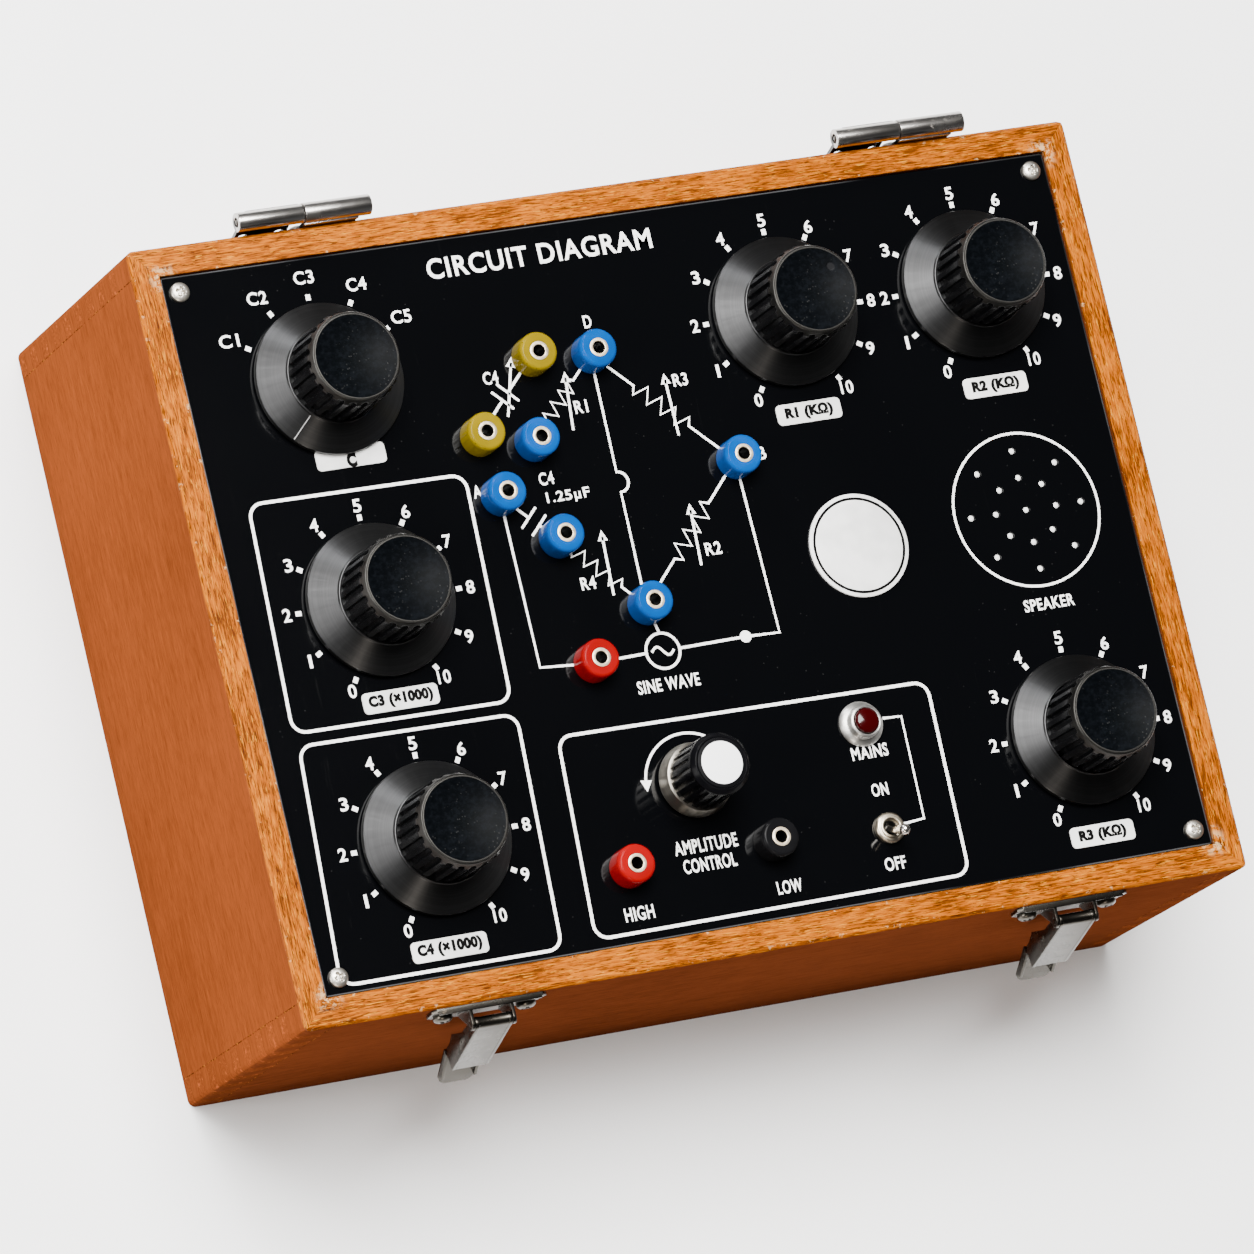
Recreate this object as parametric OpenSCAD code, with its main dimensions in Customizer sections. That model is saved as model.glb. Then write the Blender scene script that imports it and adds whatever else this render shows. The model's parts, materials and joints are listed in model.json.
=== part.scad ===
// Resistance bridge: a wooden case with a black control panel, six skirted dials,
// eleven plug sockets, an amplitude knob, a lamp, a toggle switch and a speaker grille.
// +X runs right along the panel, +Y from the latches to the hinges, +Z up.
// The origin is the middle of the underside of the base board.

/* [Case] */
// Width of the case across the panel
box_w = 320; // [318:1:380]
// Depth of the case from the latch wall to the hinge wall
box_d = 246; // [244:1:300]
// Height of the case
box_h = 112; // [100:1:160]
// Thickness of the four wall boards
board_t = 9; // [7:0.5:12]
// Radius of the upright outer corners
corner_r = 2.5; // [1:0.5:5]
// Bevel along the top outer edges
rim_bevel = 1; // [0.5:0.25:2]
// Number of fingers in each comb joint
finger_count = 18; // [8:2:24]
// Height of the mitred part of each corner, above the fingers
mitre_h = 8; // [5:1:14]
// Thickness of the base board
base_t = 6; // [4:0.5:9]
// Depth of the rebate that takes the base board
rebate = 4.5; // [2:0.5:6]
// Side of the square corner blocks
block_w = 14; // [12:1:16]
// Height of the battens below the panel
batten_h = 12; // [8:1:20]
// Thickness of the battens
batten_w = 6; // [4:0.5:7]
// Gap between a batten's end and a corner block
batten_gap = 0.2; // [0.1:0.1:1]

/* [Panel] */
// Thickness of the panel
panel_t = 3; // [2:0.5:4]
// Depth of the panel's face below the rim
panel_recess = 1.3; // [0.5:0.1:3]
// Gap between the panel and the walls
panel_gap = 0.5; // [0.2:0.1:1]
// Distance of the panel screws from the panel's edges
panel_screw_in = 5.2; // [4.5:0.1:6]
// Radius of the panel screws' heads
panel_screw_head_r = 3.1; // [2.5:0.1:3.5]
// Height of the panel screws' heads
panel_screw_head_h = 1.9; // [1.2:0.1:2.5]
// Radius of the panel screws' shanks
panel_screw_r = 1.5; // [1.2:0.1:1.8]
// Length of the panel screws below the head
panel_screw_len = 16; // [10:1:24]
// Radius of the badge disc
badge_r = 16.6; // [12:0.1:20]
// Thickness of the badge disc
badge_t = 0.8; // [0.5:0.1:1.5]
// Thickness of the label plates
label_t = 0.4; // [0.2:0.05:0.6]
// Height of the label plates
label_h = 6.6; // [5:0.2:8]
// Place of the badge across the panel
badge_x = 56.2; // [50:0.1:60]
// Place of the badge along the panel's depth
badge_y = -2.3; // [-8:0.1:4]

/* [Dials] */
// Distance of the left column of dials from the panel's left edge
dial_left_in = 46; // [42.5:0.5:50]
// Column of the first resistance dial
dial_mid_x = 50; // [46:0.5:54]
// Distance of the dials and the speaker on the right from the panel's right edge
dial_right_in = 35; // [33.5:0.5:40]
// Distance of the first row of dials from the panel's hinge edge
dial_top_in = 39; // [35.5:0.5:43]
// Row of the middle dial
dial_mid_y = 4; // [0:0.5:8]
// Distance of the last row of dials from the panel's latch edge
dial_low_in = 42; // [37.5:0.5:45]
// Radius of a dial's skirt
skirt_r = 24; // [22:0.25:26]
// Height of the skirt's upright rim
skirt_rim_h = 1.8; // [1:0.1:3]
// Height of the skirt from its lower edge to its collar
skirt_h = 6.8; // [5:0.1:9]
// Wall thickness of the skirt
skirt_t = 1.2; // [0.8:0.1:2]
// Gap between the skirt and the panel
skirt_gap = 0.9; // [0.7:0.1:2]
// Radius of a dial's grip
grip_r = 15; // [13:0.25:17]
// Height of the grip above the skirt's collar
grip_h = 19.6; // [14:0.2:24]
// Height of the grip's top chamfer
grip_chamfer_h = 2.4; // [1:0.1:4]
// Width of the grip's top chamfer
grip_chamfer_w = 1.3; // [0.8:0.1:2]
// Number of flutes around a grip
flute_count = 24; // [12:1:30]
// Width of a flute
flute_w = 2; // [1:0.1:2.4]
// Depth of a flute
flute_depth = 1.4; // [0.8:0.1:2]
// Thickness of the disc on top of a grip
cap_t = 1; // [0.6:0.1:2]
// Height by which the disc stands out of the grip
cap_proud = 0.3; // [0.1:0.1:0.6]
// Radius of a dial's spindle
spindle_r = 3.175; // [3:0.025:3.2]
// Depth of the spindle inside the grip
spindle_in_grip = 12; // [8:1:16]

/* [Rotary switches] */
// Radius of the threaded bush
bush_r = 4.7; // [4.4:0.1:5]
// Height of the bush above the panel's face
bush_top = 3.2; // [2.6:0.1:3.4]
// Radius of the click housing
click_r = 14; // [12:0.5:16]
// Height of the click housing
click_h = 9; // [7:0.5:12]
// Radius of a contact wafer
wafer_r = 16; // [14:0.5:17]
// Thickness of a contact wafer
wafer_t = 1.6; // [1:0.1:2.4]
// Distance from one wafer to the next
wafer_step = 11; // [8:0.5:14]
// Number of wafers on a switch
wafer_count = 2; // [1:1:3]
// Radius of the two tie bolts
tie_r = 1.3; // [1:0.1:1.6]
// Number of solder tags around a wafer
tag_count = 12; // [6:1:12]

/* [Sockets] */
// Radius of a socket's coloured head
socket_r = 6.3; // [5.8:0.1:7]
// Height of the head above the panel
socket_h = 8; // [6:0.5:10]
// Radius of the insulating stem in the panel
stem_r = 5; // [4.4:0.1:5.4]
// Radius of the metal contact tube
contact_r = 3; // [2.7:0.1:3.4]
// Radius of the bore that takes a plug
plug_r = 2; // [1.9:0.05:2.2]
// Depth of the plug bore
plug_depth = 24; // [20:1:30]
// Length of the solder tail below the bore
tail_len = 6; // [4:0.5:10]
// Height by which the contact tube stands out of the head
contact_proud = 0.1; // [0:0.05:0.3]

/* [Amplitude knob] */
// Place of the amplitude knob across the panel
amplitude_x = -17; // [-24:0.5:-12]
// Distance of the amplitude knob from the panel's latch edge
amplitude_in = 46.5; // [42:0.5:53]
// Outer radius of the metal collar
collar_r = 11.8; // [11:0.1:13]
// Height of the metal collar
collar_h = 5.6; // [4:0.1:8]
// Gap between the collar and the panel
collar_gap = 1.6; // [0.6:0.1:3]
// Radius of the amplitude knob's grip
knob_r = 10; // [9:0.1:10.6]
// Height of the amplitude knob's top above the panel
knob_top = 25; // [20:0.5:30]
// Radius of the white disc on top
knob_cap_r = 8; // [6:0.1:8.6]
// Number of flutes around the amplitude knob
knob_flutes = 20; // [12:1:24]
// Radius of the potentiometer's spindle
pot_spindle_r = 3; // [2.9:0.05:3.1]
// Radius of the potentiometer's case
pot_r = 12; // [9:0.5:14]
// Height of the potentiometer's case
pot_h = 11; // [8:0.5:14]

/* [Lamp and toggle switch] */
// Place of the pilot lamp across the panel
lamp_x = 42.6; // [36:0.1:50]
// Distance of the pilot lamp from the panel's latch edge
lamp_in = 55.5; // [51.5:0.5:61]
// Radius of the lamp's flange
bezel_r = 7.2; // [6:0.1:8]
// Height of the lamp's bezel above the panel
bezel_h = 5; // [3:0.1:7]
// Radius of the red lens
lens_r = 4.1; // [3:0.1:4.6]
// Height of the lens dome
lens_dome = 1.5; // [0.8:0.1:2.5]
// Place of the toggle switch across the panel
toggle_x = 43.6; // [36:0.1:50]
// Distance of the toggle switch from the panel's latch edge
toggle_in = 21.9; // [19.5:0.1:33]
// Radius of the toggle switch's round nut
toggle_nut_r = 4.9; // [4.2:0.1:5.6]
// Length of the lever above its pivot
lever_len = 15; // [12:0.5:18]
// Radius of the lever's round end
lever_tip_r = 1.75; // [1.4:0.05:2.2]
// Tilt of the lever to each side
lever_tilt = 13; // [8:1:15]

/* [Speaker] */
// Place of the grille and the speaker along the panel's depth
speaker_y = 0.8; // [-6:0.1:8]
// Radius of a grille hole
grille_hole_r = 1.1; // [0.8:0.1:1.5]
// Number of holes in each ring
grille_spokes = 8; // [6:1:12]
// Radius of the inner ring of holes
grille_inner_r = 10.5; // [8:0.5:12]
// Radius of the outer ring of holes
grille_outer_r = 19.2; // [15:0.1:21]
// Outer radius of the speaker's frame
speaker_r = 26; // [24:0.5:27]
// Depth of the speaker below the panel
speaker_depth = 22; // [16:0.5:28]
// Radius of the speaker's magnet
magnet_r = 15; // [10:0.5:18]
// Thickness of the cloth between the panel and the speaker
cloth_t = 0.4; // [0.2:0.1:0.8]

/* [Hinges] */
// Distance of a hinge's seam from the end of the case
hinge_in = 58.5; // [50:0.5:70]
// Length of each knuckle
knuckle_len = 22; // [16:0.5:28]
// Outer radius of the knuckle on the case
knuckle_r = 3.2; // [2.8:0.1:3.8]
// Outer radius of the lid leaf's knuckle
lid_knuckle_r = 3; // [2.6:0.1:3.4]
// Distance of the pin behind the wall
hinge_out = 3.6; // [3.4:0.1:5]
// Height of the pin above the rim
hinge_up = 2.6; // [1:0.1:4]
// Radius of the hinge pin
hinge_pin_r = 1.5; // [1.2:0.1:1.8]
// Thickness of the hinge leaves
leaf_t = 1.2; // [1:0.1:1.6]
// Length of a leaf from its pin
leaf_len = 24; // [20:0.5:32]
// Distance of a leaf's edge in from the outer end of its knuckle
leaf_end_in = 4; // [0:0.5:5]
// Distance between the two screws of a leaf
leaf_screw_gap = 12; // [8:0.5:12.5]
// Distance of the leaf's screws from the pin
leaf_screw_down = 15; // [12:0.5:18]

/* [Latches] */
// Distance of a latch from the end of the case
latch_in = 61; // [50:0.5:70]
// Width of the latch's base plate
latch_w = 38; // [35:0.5:44]
// Height of the base plate
latch_plate_h = 13; // [11:0.5:16]
// Thickness of the base plate
latch_plate_t = 1.2; // [1:0.1:1.6]
// Distance from the middle to a screw of the base plate
latch_screw_x = 13.8; // [12.4:0.2:15]
// Outer width over the latch's ears
latch_ears_w = 14.6; // [13:0.2:17]
// Length of the lever from its pin
latch_lever_len = 27.5; // [22:0.5:32]
// Depth of the lever's cheeks
latch_cheek = 7; // [5.5:0.1:8.5]
// Lean of the lever away from the wall
latch_lean = 15; // [12:0.5:18]
// Distance of the lever's pin from the wall
latch_pin_out = 6; // [5.5:0.1:8]
// Radius of the lever's pin
latch_pin_r = 1; // [0.8:0.1:1.2]
// Thickness of the latch's sheet metal
latch_sheet = 1; // [0.8:0.1:1.2]
// Length of the hook below its elbow
hook_len = 21; // [16:0.5:24]
// Lean of the hook away from the wall
hook_lean = 32; // [26:0.5:33]

/* [Inside] */
// Length of the circuit board
pcb_w = 100; // [80:1:110]
// Width of the circuit board
pcb_d = 62; // [50:1:70]
// Thickness of the circuit board
pcb_t = 1.6; // [1:0.1:2.4]
// Height of the pillars below the circuit board
pillar_h = 10; // [6:0.5:15]
// Place of the circuit board across the case
pcb_x = -18; // [-25:1:-5]
// Place of the circuit board along the case's depth
pcb_y = 25; // [10:1:35]
// Radius of the capacitors on the circuit board
can_r = 5; // [4:0.5:6]
// Height of the capacitors
can_h = 12; // [8:1:16]
// Distance from one capacitor to the next
can_step = 20; // [14:1:24]
// Distance of the row of capacitors from the board's hinge edge
can_in = 17; // [8:1:22]
// Length of an integrated circuit
chip_w = 20; // [10:1:24]
// Width of an integrated circuit
chip_d = 8; // [6:1:12]
// Height of an integrated circuit
chip_h = 4; // [3:0.5:5]
// Distance of the integrated circuits from the board's latch edge
chip_in = 19; // [8:1:22]
// Width of the transformer's core
core_w = 42; // [36:1:50]
// Depth of the transformer's core
core_d = 22; // [16:1:28]
// Height of the transformer's core
core_h = 35; // [28:1:42]
// Distance of the transformer's middle from the right wall
core_in = 63; // [50:1:70]
// Place of the transformer along the case's depth
core_y = -28; // [-40:1:-20]
// Length by which the winding stands out of each side of the core
coil_out = 8; // [5:0.5:12]
// Share of the core's width and height that the winding takes
coil_share = 0.62; // [0.5:0.01:0.7]
// Length of each mounting foot
foot_len = 9; // [7:0.5:12]
// Thickness of the mounting feet
foot_t = 1.2; // [1:0.1:2]
// Radius of the cord hole in the grommet
cord_r = 3.6; // [3:0.1:4.5]

/* [Fits] */
// Clearance around a shaft that turns in a bush
running_gap = 0.05; // [0.02:0.01:0.1]
// Clearance around what passes through a hole
hole_gap = 0.2; // [0.1:0.05:0.4]
// Gap between sheet parts that move past each other
sheet_gap = 0.3; // [0.2:0.05:0.5]
// Radius of the wood screws
wood_screw_r = 1.5; // [1.2:0.1:1.7]
// Radius of the wood screws' heads
wood_head_r = 3.1; // [2.6:0.1:3.4]
// Height of the wood screws' heads
wood_head_h = 2.4; // [1.6:0.1:2.8]
// Length of the wood screws below the head
wood_screw_len = 8; // [6:0.5:9]

/* [Hidden] */
DIALS = ["c", "c3", "c4", "r1", "r2", "r3"];
DIAL_PARTS = ["skirt", "grip", "cap"];
$fn = 64;
panel_z = box_h - panel_recess;
inner_w = box_w - 2 * board_t;
inner_d = box_d - 2 * board_t;
panel_w = inner_w - 2 * panel_gap;
panel_d = inner_d - 2 * panel_gap;
finger_h = (box_h - mitre_h) / finger_count;
panel_screw_x = panel_w / 2 - panel_screw_in;
panel_screw_y = panel_d / 2 - panel_screw_in;
latch_edge = -panel_d / 2;
dial_left_x = dial_left_in - panel_w / 2;
dial_right_x = panel_w / 2 - dial_right_in;
dial_top_y = panel_d / 2 - dial_top_in;
dial_low_y = latch_edge + dial_low_in;
badge_at = [badge_x, badge_y];
amplitude_at = [amplitude_x, latch_edge + amplitude_in];
lamp_at = [lamp_x, latch_edge + lamp_in];
toggle_at = [toggle_x, latch_edge + toggle_in];
speaker_at = [dial_right_x, speaker_y];
hinge_x = box_w / 2 - hinge_in;
latch_x = box_w / 2 - latch_in;
DIAL_AT = [[dial_left_x, dial_top_y], [dial_left_x, dial_mid_y], [dial_left_x, dial_low_y],
    [dial_mid_x, dial_top_y], [dial_right_x, dial_top_y], [dial_right_x, dial_low_y]];
YELLOW_AT = [[-37, 72.3], [-59.9, 49.8]];
BLUE_AT = [[-17.2, 70.6], [-42.6, 45.7], [22.2, 30.7], [-57.7, 30.4], [-42.1, 14.6], [-18.4, -10.4]];
// The output pair counts its second value from the panel's latch edge
HIGH_IN = [-44.6, 23.2];
LOW_IN = [4.2, 23.8];
RED_AT = [[-40.4, -25.6], [HIGH_IN[0], latch_edge + HIGH_IN[1]]];
BLACK_AT = [[LOW_IN[0], latch_edge + LOW_IN[1]]];
SOCKET_AT = concat(YELLOW_AT, BLUE_AT, RED_AT, BLACK_AT);
// Places of the label plates from the middles of their dials, and their lengths
LABELS = [[1.7, -24.7, 23], [-0.4, -31, 25], [-3.3, -33.5, 25], [0.5, -32.3, 22], [-0.2, -32.9, 22],
    [-1.3, -33.1, 22]];
collar_top = skirt_gap + skirt_h;
// Height of the collar's ring above the seat of the grip inside it
collar_lip = 0.6;
skirt_neck_r = grip_r + 0.2;
grip_top = collar_top + grip_h;
boss_r = 8;
boss_bottom = bush_top + 0.5;
cap_r = grip_r - grip_chamfer_w;
cap_seat = cap_t - cap_proud;
nut_h = 2;
nut_r = 6.8;
switch_depth = click_h + wafer_count * wafer_step + 4;
hinge_y = box_d / 2 + hinge_out;
hinge_z = box_h + hinge_up;
seam_gap = 0.4;
leaf_end = knuckle_len - leaf_end_in;
leaf_inner = hinge_out - leaf_t;
leaf_rest_gap = 0.3;
leaf_hang = asin((hinge_out - leaf_rest_gap) / norm([leaf_inner, leaf_len])) + atan(leaf_inner / leaf_len);
latch_y = -box_d / 2;
latch_pin_z = -2.9;
ear_out = latch_ears_w / 2;
cheek_out = ear_out - latch_sheet - sheet_gap;
latch_top = 0.8;
roll_r = latch_pin_r + latch_sheet;
// Distance along the lever and behind its face of the hook's rivet
rivet_down = 14;
rivet_back = 3.4;
hook_half = cheek_out - latch_sheet - sheet_gap;
rivet_r = 0.9;
rivet_head = 0.25;
// Step from the cheeks' edges in to the rolled face between them
face_step = 0.1;
// Distance from the hook's elbow at which its tongue widens below the lever
hook_neck = 6.2;
// Step from the arms' outer faces in to the hook's neck
neck_in = 0.15;
// Depth of the recess that takes the amplitude knob's disc
knob_cap_seat = 0.6;
pot_bush_r = 3.5;
toggle_bush_r = 3;
toggle_pivot = 1.5;
lamp_body_r = 4.8;
under_panel = -panel_t;
// Width of the speaker frame's flange and depth of the ledge inside it
flange_w = 1.5;
ledge_z = 1.2;
grommet_z = 22;
grommet_x = 60;
grommet_r = cord_r + 2.4;

// Places its children on the panel's face
module on_panel(at) {
    translate([at[0], at[1], panel_z]) children();
}

// Rounded rectangle of true arcs, centred on the origin
module rounded_plate(w, d, r) {
    square([w - 2 * r, d], center = true);
    square([w, d - 2 * r], center = true);
    for (sx = [-1, 1], sy = [-1, 1]) translate([sx * (w / 2 - r), sy * (d / 2 - r)]) circle(r);
}

// Tube or washer from z0 to z1
module ring(outer, inner, z0, z1) {
    translate([0, 0, z0]) difference() {
        cylinder(r = outer, h = z1 - z0);
        translate([0, 0, -1]) cylinder(r = inner, h = z1 - z0 + 2);
    }
}

// Hexagon nut with its hole
module hex_nut(outer, inner, z0, h) {
    translate([0, 0, z0]) difference() {
        cylinder(r = outer, h = h, $fn = 6);
        translate([0, 0, -1]) cylinder(r = inner, h = h + 2);
    }
}

// Pan head screw whose head sits on z = 0 and whose shank points down
module pan_screw(head_r, head_h, shank_r, length) {
    edge = head_h * 0.45;
    rotate_extrude() polygon([[0, -length], [shank_r * 0.3, -length], [shank_r, -length + shank_r * 1.5],
        [shank_r, 0], [head_r, 0], [head_r, edge], [head_r * 0.86, head_h * 0.82], [head_r * 0.55, head_h],
        [0, head_h]]);
}

// One wall board along X with comb fingers of one parity and mitred top corners
module wall_board(run, across, parity) {
    translate([0, -across / 2, 0]) {
        translate([-run / 2 + board_t, 0, 0]) cube([run - 2 * board_t, board_t, box_h]);
        for (i = [parity:2:finger_count - 1], s = [-1, 1])
            translate([s * (run - board_t) / 2 - board_t / 2, 0, i * finger_h])
                cube([board_t, board_t, finger_h]);
        for (s = [-1, 1]) translate([s * run / 2, 0, box_h - mitre_h]) linear_extrude(mitre_h)
            polygon([[0, 0], [-s * board_t, 0], [-s * board_t, board_t]]);
    }
}

// Bevel cutters along the four top edges of the case
module rim_cutters() {
    side = rim_bevel * sqrt(2);
    for (s = [-1, 1]) {
        translate([0, s * box_d / 2, box_h]) rotate([45, 0, 0]) cube([box_w * 2, side, side], center = true);
        translate([s * box_w / 2, 0, box_h]) rotate([0, 45, 0]) cube([side, box_d * 2, side], center = true);
    }
}

// Finishes a wall: rounded corners, bevelled rim and the rebate for the base board
module finish_wall() {
    difference() {
        intersection() {
            children();
            linear_extrude(box_h) rounded_plate(box_w, box_d, corner_r);
        }
        translate([0, 0, base_t / 2 - 0.5])
            cube([inner_w + 2 * rebate, inner_d + 2 * rebate, base_t + 1], center = true);
        rim_cutters();
    }
}

// Holes for wood screws, along the outward normal of the wall
module pilot_hole() {
    cylinder(r = wood_screw_r + running_gap, h = 2 * wood_screw_len, center = true);
}

module front_wall() {
    color("saddlebrown") difference() {
        finish_wall() wall_board(box_w, box_d, 0);
        for (s = [-1, 1], t = [-1, 1])
            translate([s * latch_x + t * latch_screw_x, latch_y, latch_screw_z()])
                rotate([90, 0, 0]) pilot_hole();
    }
}

module back_wall() {
    color("sienna") difference() {
        finish_wall() rotate([0, 0, 180]) wall_board(box_w, box_d, 0);
        for (s = [-1, 1], t = [-1, 1])
            translate([s * hinge_x + (leaf_end + t * leaf_screw_gap) / 2, box_d / 2,
                hinge_z - leaf_screw_down]) rotate([90, 0, 0]) pilot_hole();
        translate([grommet_x, box_d / 2, grommet_z]) rotate([90, 0, 0])
            cylinder(r = grommet_r, h = 4 * board_t, center = true);
    }
}

module left_wall() {
    color("sienna") finish_wall() rotate([0, 0, -90]) wall_board(box_d, box_w, 1);
}

module right_wall() {
    color("sienna") finish_wall() rotate([0, 0, 90]) wall_board(box_d, box_w, 1);
}

module base_board() {
    color("burlywood") translate([0, 0, base_t / 2])
        cube([inner_w + 2 * rebate - hole_gap, inner_d + 2 * rebate - hole_gap, base_t], center = true);
}

// Four upright blocks that take the panel screws, and the battens between them
module corner_blocks() {
    top = panel_z - panel_t;
    color("tan") {
        for (sx = [-1, 1], sy = [-1, 1]) difference() {
            translate([sx * (inner_w - block_w) / 2, sy * (inner_d - block_w) / 2, (top + base_t) / 2])
                cube([block_w, block_w, top - base_t], center = true);
            translate([sx * panel_screw_x, sy * panel_screw_y, top - panel_screw_len])
                cylinder(r = panel_screw_r + running_gap, h = panel_screw_len + 1);
        }
        for (s = [-1, 1]) {
            translate([0, s * (inner_d - batten_w) / 2, top - batten_h / 2])
                cube([inner_w - 2 * block_w - 2 * batten_gap, batten_w, batten_h], center = true);
            translate([s * (inner_w - batten_w) / 2, 0, top - batten_h / 2])
                cube([batten_w, inner_d - 2 * block_w - 2 * batten_gap, batten_h], center = true);
        }
    }
}

// Rubber grommet in the back wall where a mains lead enters
module cord_grommet() {
    lip_r = grommet_r + 2;
    lip = 2;
    color("dimgray") translate([grommet_x, box_d / 2 - board_t / 2, grommet_z]) rotate([90, 0, 0])
        rotate_extrude() polygon([[cord_r, -board_t / 2 - lip], [lip_r - 0.8, -board_t / 2 - lip],
            [lip_r, -board_t / 2 - lip + 0.8], [lip_r, -board_t / 2], [grommet_r, -board_t / 2],
            [grommet_r, board_t / 2], [lip_r, board_t / 2], [lip_r, board_t / 2 + lip - 0.8],
            [lip_r - 0.8, board_t / 2 + lip], [cord_r, board_t / 2 + lip]]);
}

// Straight hole through the panel
module panel_hole(at, r) {
    translate([at[0], at[1], -panel_t - 1]) cylinder(r = r, h = panel_t + 2);
}

module control_panel() {
    color([0.05, 0.05, 0.06]) translate([0, 0, panel_z]) difference() {
        translate([0, 0, -panel_t]) linear_extrude(panel_t) rounded_plate(panel_w, panel_d, 1);
        for (at = DIAL_AT) panel_hole(at, bush_r + hole_gap);
        for (at = SOCKET_AT) panel_hole(at, stem_r + hole_gap);
        for (sx = [-1, 1], sy = [-1, 1])
            panel_hole([sx * panel_screw_x, sy * panel_screw_y], panel_screw_r + hole_gap);
        panel_hole(amplitude_at, pot_bush_r + hole_gap);
        panel_hole(lamp_at, lamp_body_r + hole_gap);
        panel_hole(toggle_at, toggle_bush_r + hole_gap);
        panel_hole(speaker_at, grille_hole_r);
        for (i = [0:grille_spokes - 1], r = [grille_inner_r, grille_outer_r])
            panel_hole(speaker_at + r * [cos(i * 360 / grille_spokes), sin(i * 360 / grille_spokes)],
                grille_hole_r);
    }
}

module panel_screws() {
    color("silver") for (sx = [-1, 1], sy = [-1, 1]) on_panel([sx * panel_screw_x, sy * panel_screw_y])
        pan_screw(panel_screw_head_r, panel_screw_head_h, panel_screw_r, panel_screw_len);
}

module badge_disc() {
    color("white") on_panel(badge_at) cylinder(r = badge_r, h = badge_t);
}

module label_plates() {
    color("white") for (i = [0:len(DIAL_AT) - 1])
        on_panel([DIAL_AT[i][0] + LABELS[i][0], DIAL_AT[i][1] + LABELS[i][1]])
            linear_extrude(label_t) rounded_plate(LABELS[i][2], label_h, 1.5);
}

// Spun dish of a dial with its collar, and the spindle that carries it
module dial_skirt(at) {
    neck = skirt_neck_r;
    seat = collar_top - collar_lip;
    below = switch_depth + panel_t + 2;
    on_panel(at) {
        color([0.2, 0.2, 0.22]) rotate_extrude() polygon([[skirt_r, skirt_gap],
            [skirt_r, skirt_gap + skirt_rim_h], [neck + 0.5, collar_top - 0.5], [neck + 0.3, collar_top],
            [neck - 0.2, collar_top], [neck - 0.4, seat], [boss_r, seat], [boss_r, seat - skirt_t],
            [neck - 0.6, seat - skirt_t], [skirt_r - skirt_t, skirt_gap + skirt_rim_h - 0.6],
            [skirt_r - skirt_t, skirt_gap]]);
        color("silver") translate([0, 0, -below])
            cylinder(r = spindle_r, h = below + boss_bottom + spindle_in_grip);
    }
}

// Cuts of the flutes around a grip: slots with round upper ends
module flutes(count, radius, depth, width, z0, z1) {
    for (i = [0:count - 1]) rotate([0, 0, i * 360 / count]) {
        translate([radius - depth, -width / 2, z0 - 1]) cube([depth + 1, width, z1 - z0 + 1 - width / 2]);
        translate([radius - depth, 0, z1 - width / 2]) rotate([0, 90, 0])
            cylinder(r = width / 2, h = depth + 1);
    }
}

// Fluted grip of a dial with a boss through the skirt
module dial_grip(at) {
    flute_top = grip_top - grip_chamfer_h + 0.7;
    base = collar_top - collar_lip;
    color([0.08, 0.08, 0.09]) on_panel(at) difference() {
        rotate_extrude() polygon([[0, boss_bottom], [boss_r - 0.1, boss_bottom], [boss_r - 0.1, base],
            [grip_r - 0.4, base], [grip_r, base + 1], [grip_r, grip_top - grip_chamfer_h],
            [cap_r + 0.2, grip_top], [cap_r, grip_top], [cap_r, grip_top - cap_seat],
            [0, grip_top - cap_seat]]);
        flutes(flute_count, grip_r, flute_depth, flute_w, base, flute_top);
        translate([0, 0, boss_bottom - 1]) cylinder(r = spindle_r + running_gap, h = spindle_in_grip + 1);
    }
}

// Thin disc let into the top of a grip
module dial_cap(at) {
    color([0.12, 0.12, 0.13]) on_panel(at) translate([0, 0, grip_top - cap_seat])
        cylinder(r = cap_r - 0.1, h = cap_t);
}

// One rotary switch below the panel: bush, click housing, wafers, tags and tie bolts
module rotary_switch() {
    bolt_x = click_r - 3;
    difference() {
        union() {
            translate([0, 0, -panel_t]) cylinder(r = bush_r, h = panel_t + bush_top);
            translate([0, 0, -panel_t - click_h]) cylinder(r = click_r, h = click_h);
            for (i = [1:wafer_count]) translate([0, 0, -panel_t - click_h - i * wafer_step]) {
                cylinder(r = wafer_r, h = wafer_t);
                for (t = [0:tag_count - 1]) rotate([0, 0, t * 360 / tag_count])
                    translate([wafer_r - 2, -0.7, -0.6]) cube([4.2, 1.4, 0.6]);
            }
            for (s = [-1, 1]) translate([s * bolt_x, 0, -panel_t - switch_depth])
                cylinder(r = tie_r, h = switch_depth);
        }
        translate([0, 0, -panel_t - switch_depth - 1])
            cylinder(r = spindle_r + running_gap, h = switch_depth + panel_t + bush_top + 2);
    }
}

module rotary_switches() {
    color("goldenrod") for (at = DIAL_AT) on_panel(at) rotary_switch();
}

// Nuts of the dials and of the potentiometer on the panel, and those of the sockets below it
module panel_nuts() {
    color("silver") {
        for (at = DIAL_AT) on_panel(at) hex_nut(nut_r, bush_r, 0, nut_h);
        on_panel(amplitude_at) hex_nut(pot_bush_r + 2.3, pot_bush_r, 0, nut_h - 0.4);
        on_panel(lamp_at) hex_nut(lamp_body_r + 2.4, lamp_body_r, under_panel - nut_h, nut_h);
        on_panel(toggle_at) hex_nut(toggle_bush_r + 1.8, toggle_bush_r, under_panel - nut_h, nut_h);
        for (at = SOCKET_AT) on_panel(at) hex_nut(stem_r + 2, contact_r, under_panel - nut_h, nut_h);
    }
}

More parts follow.
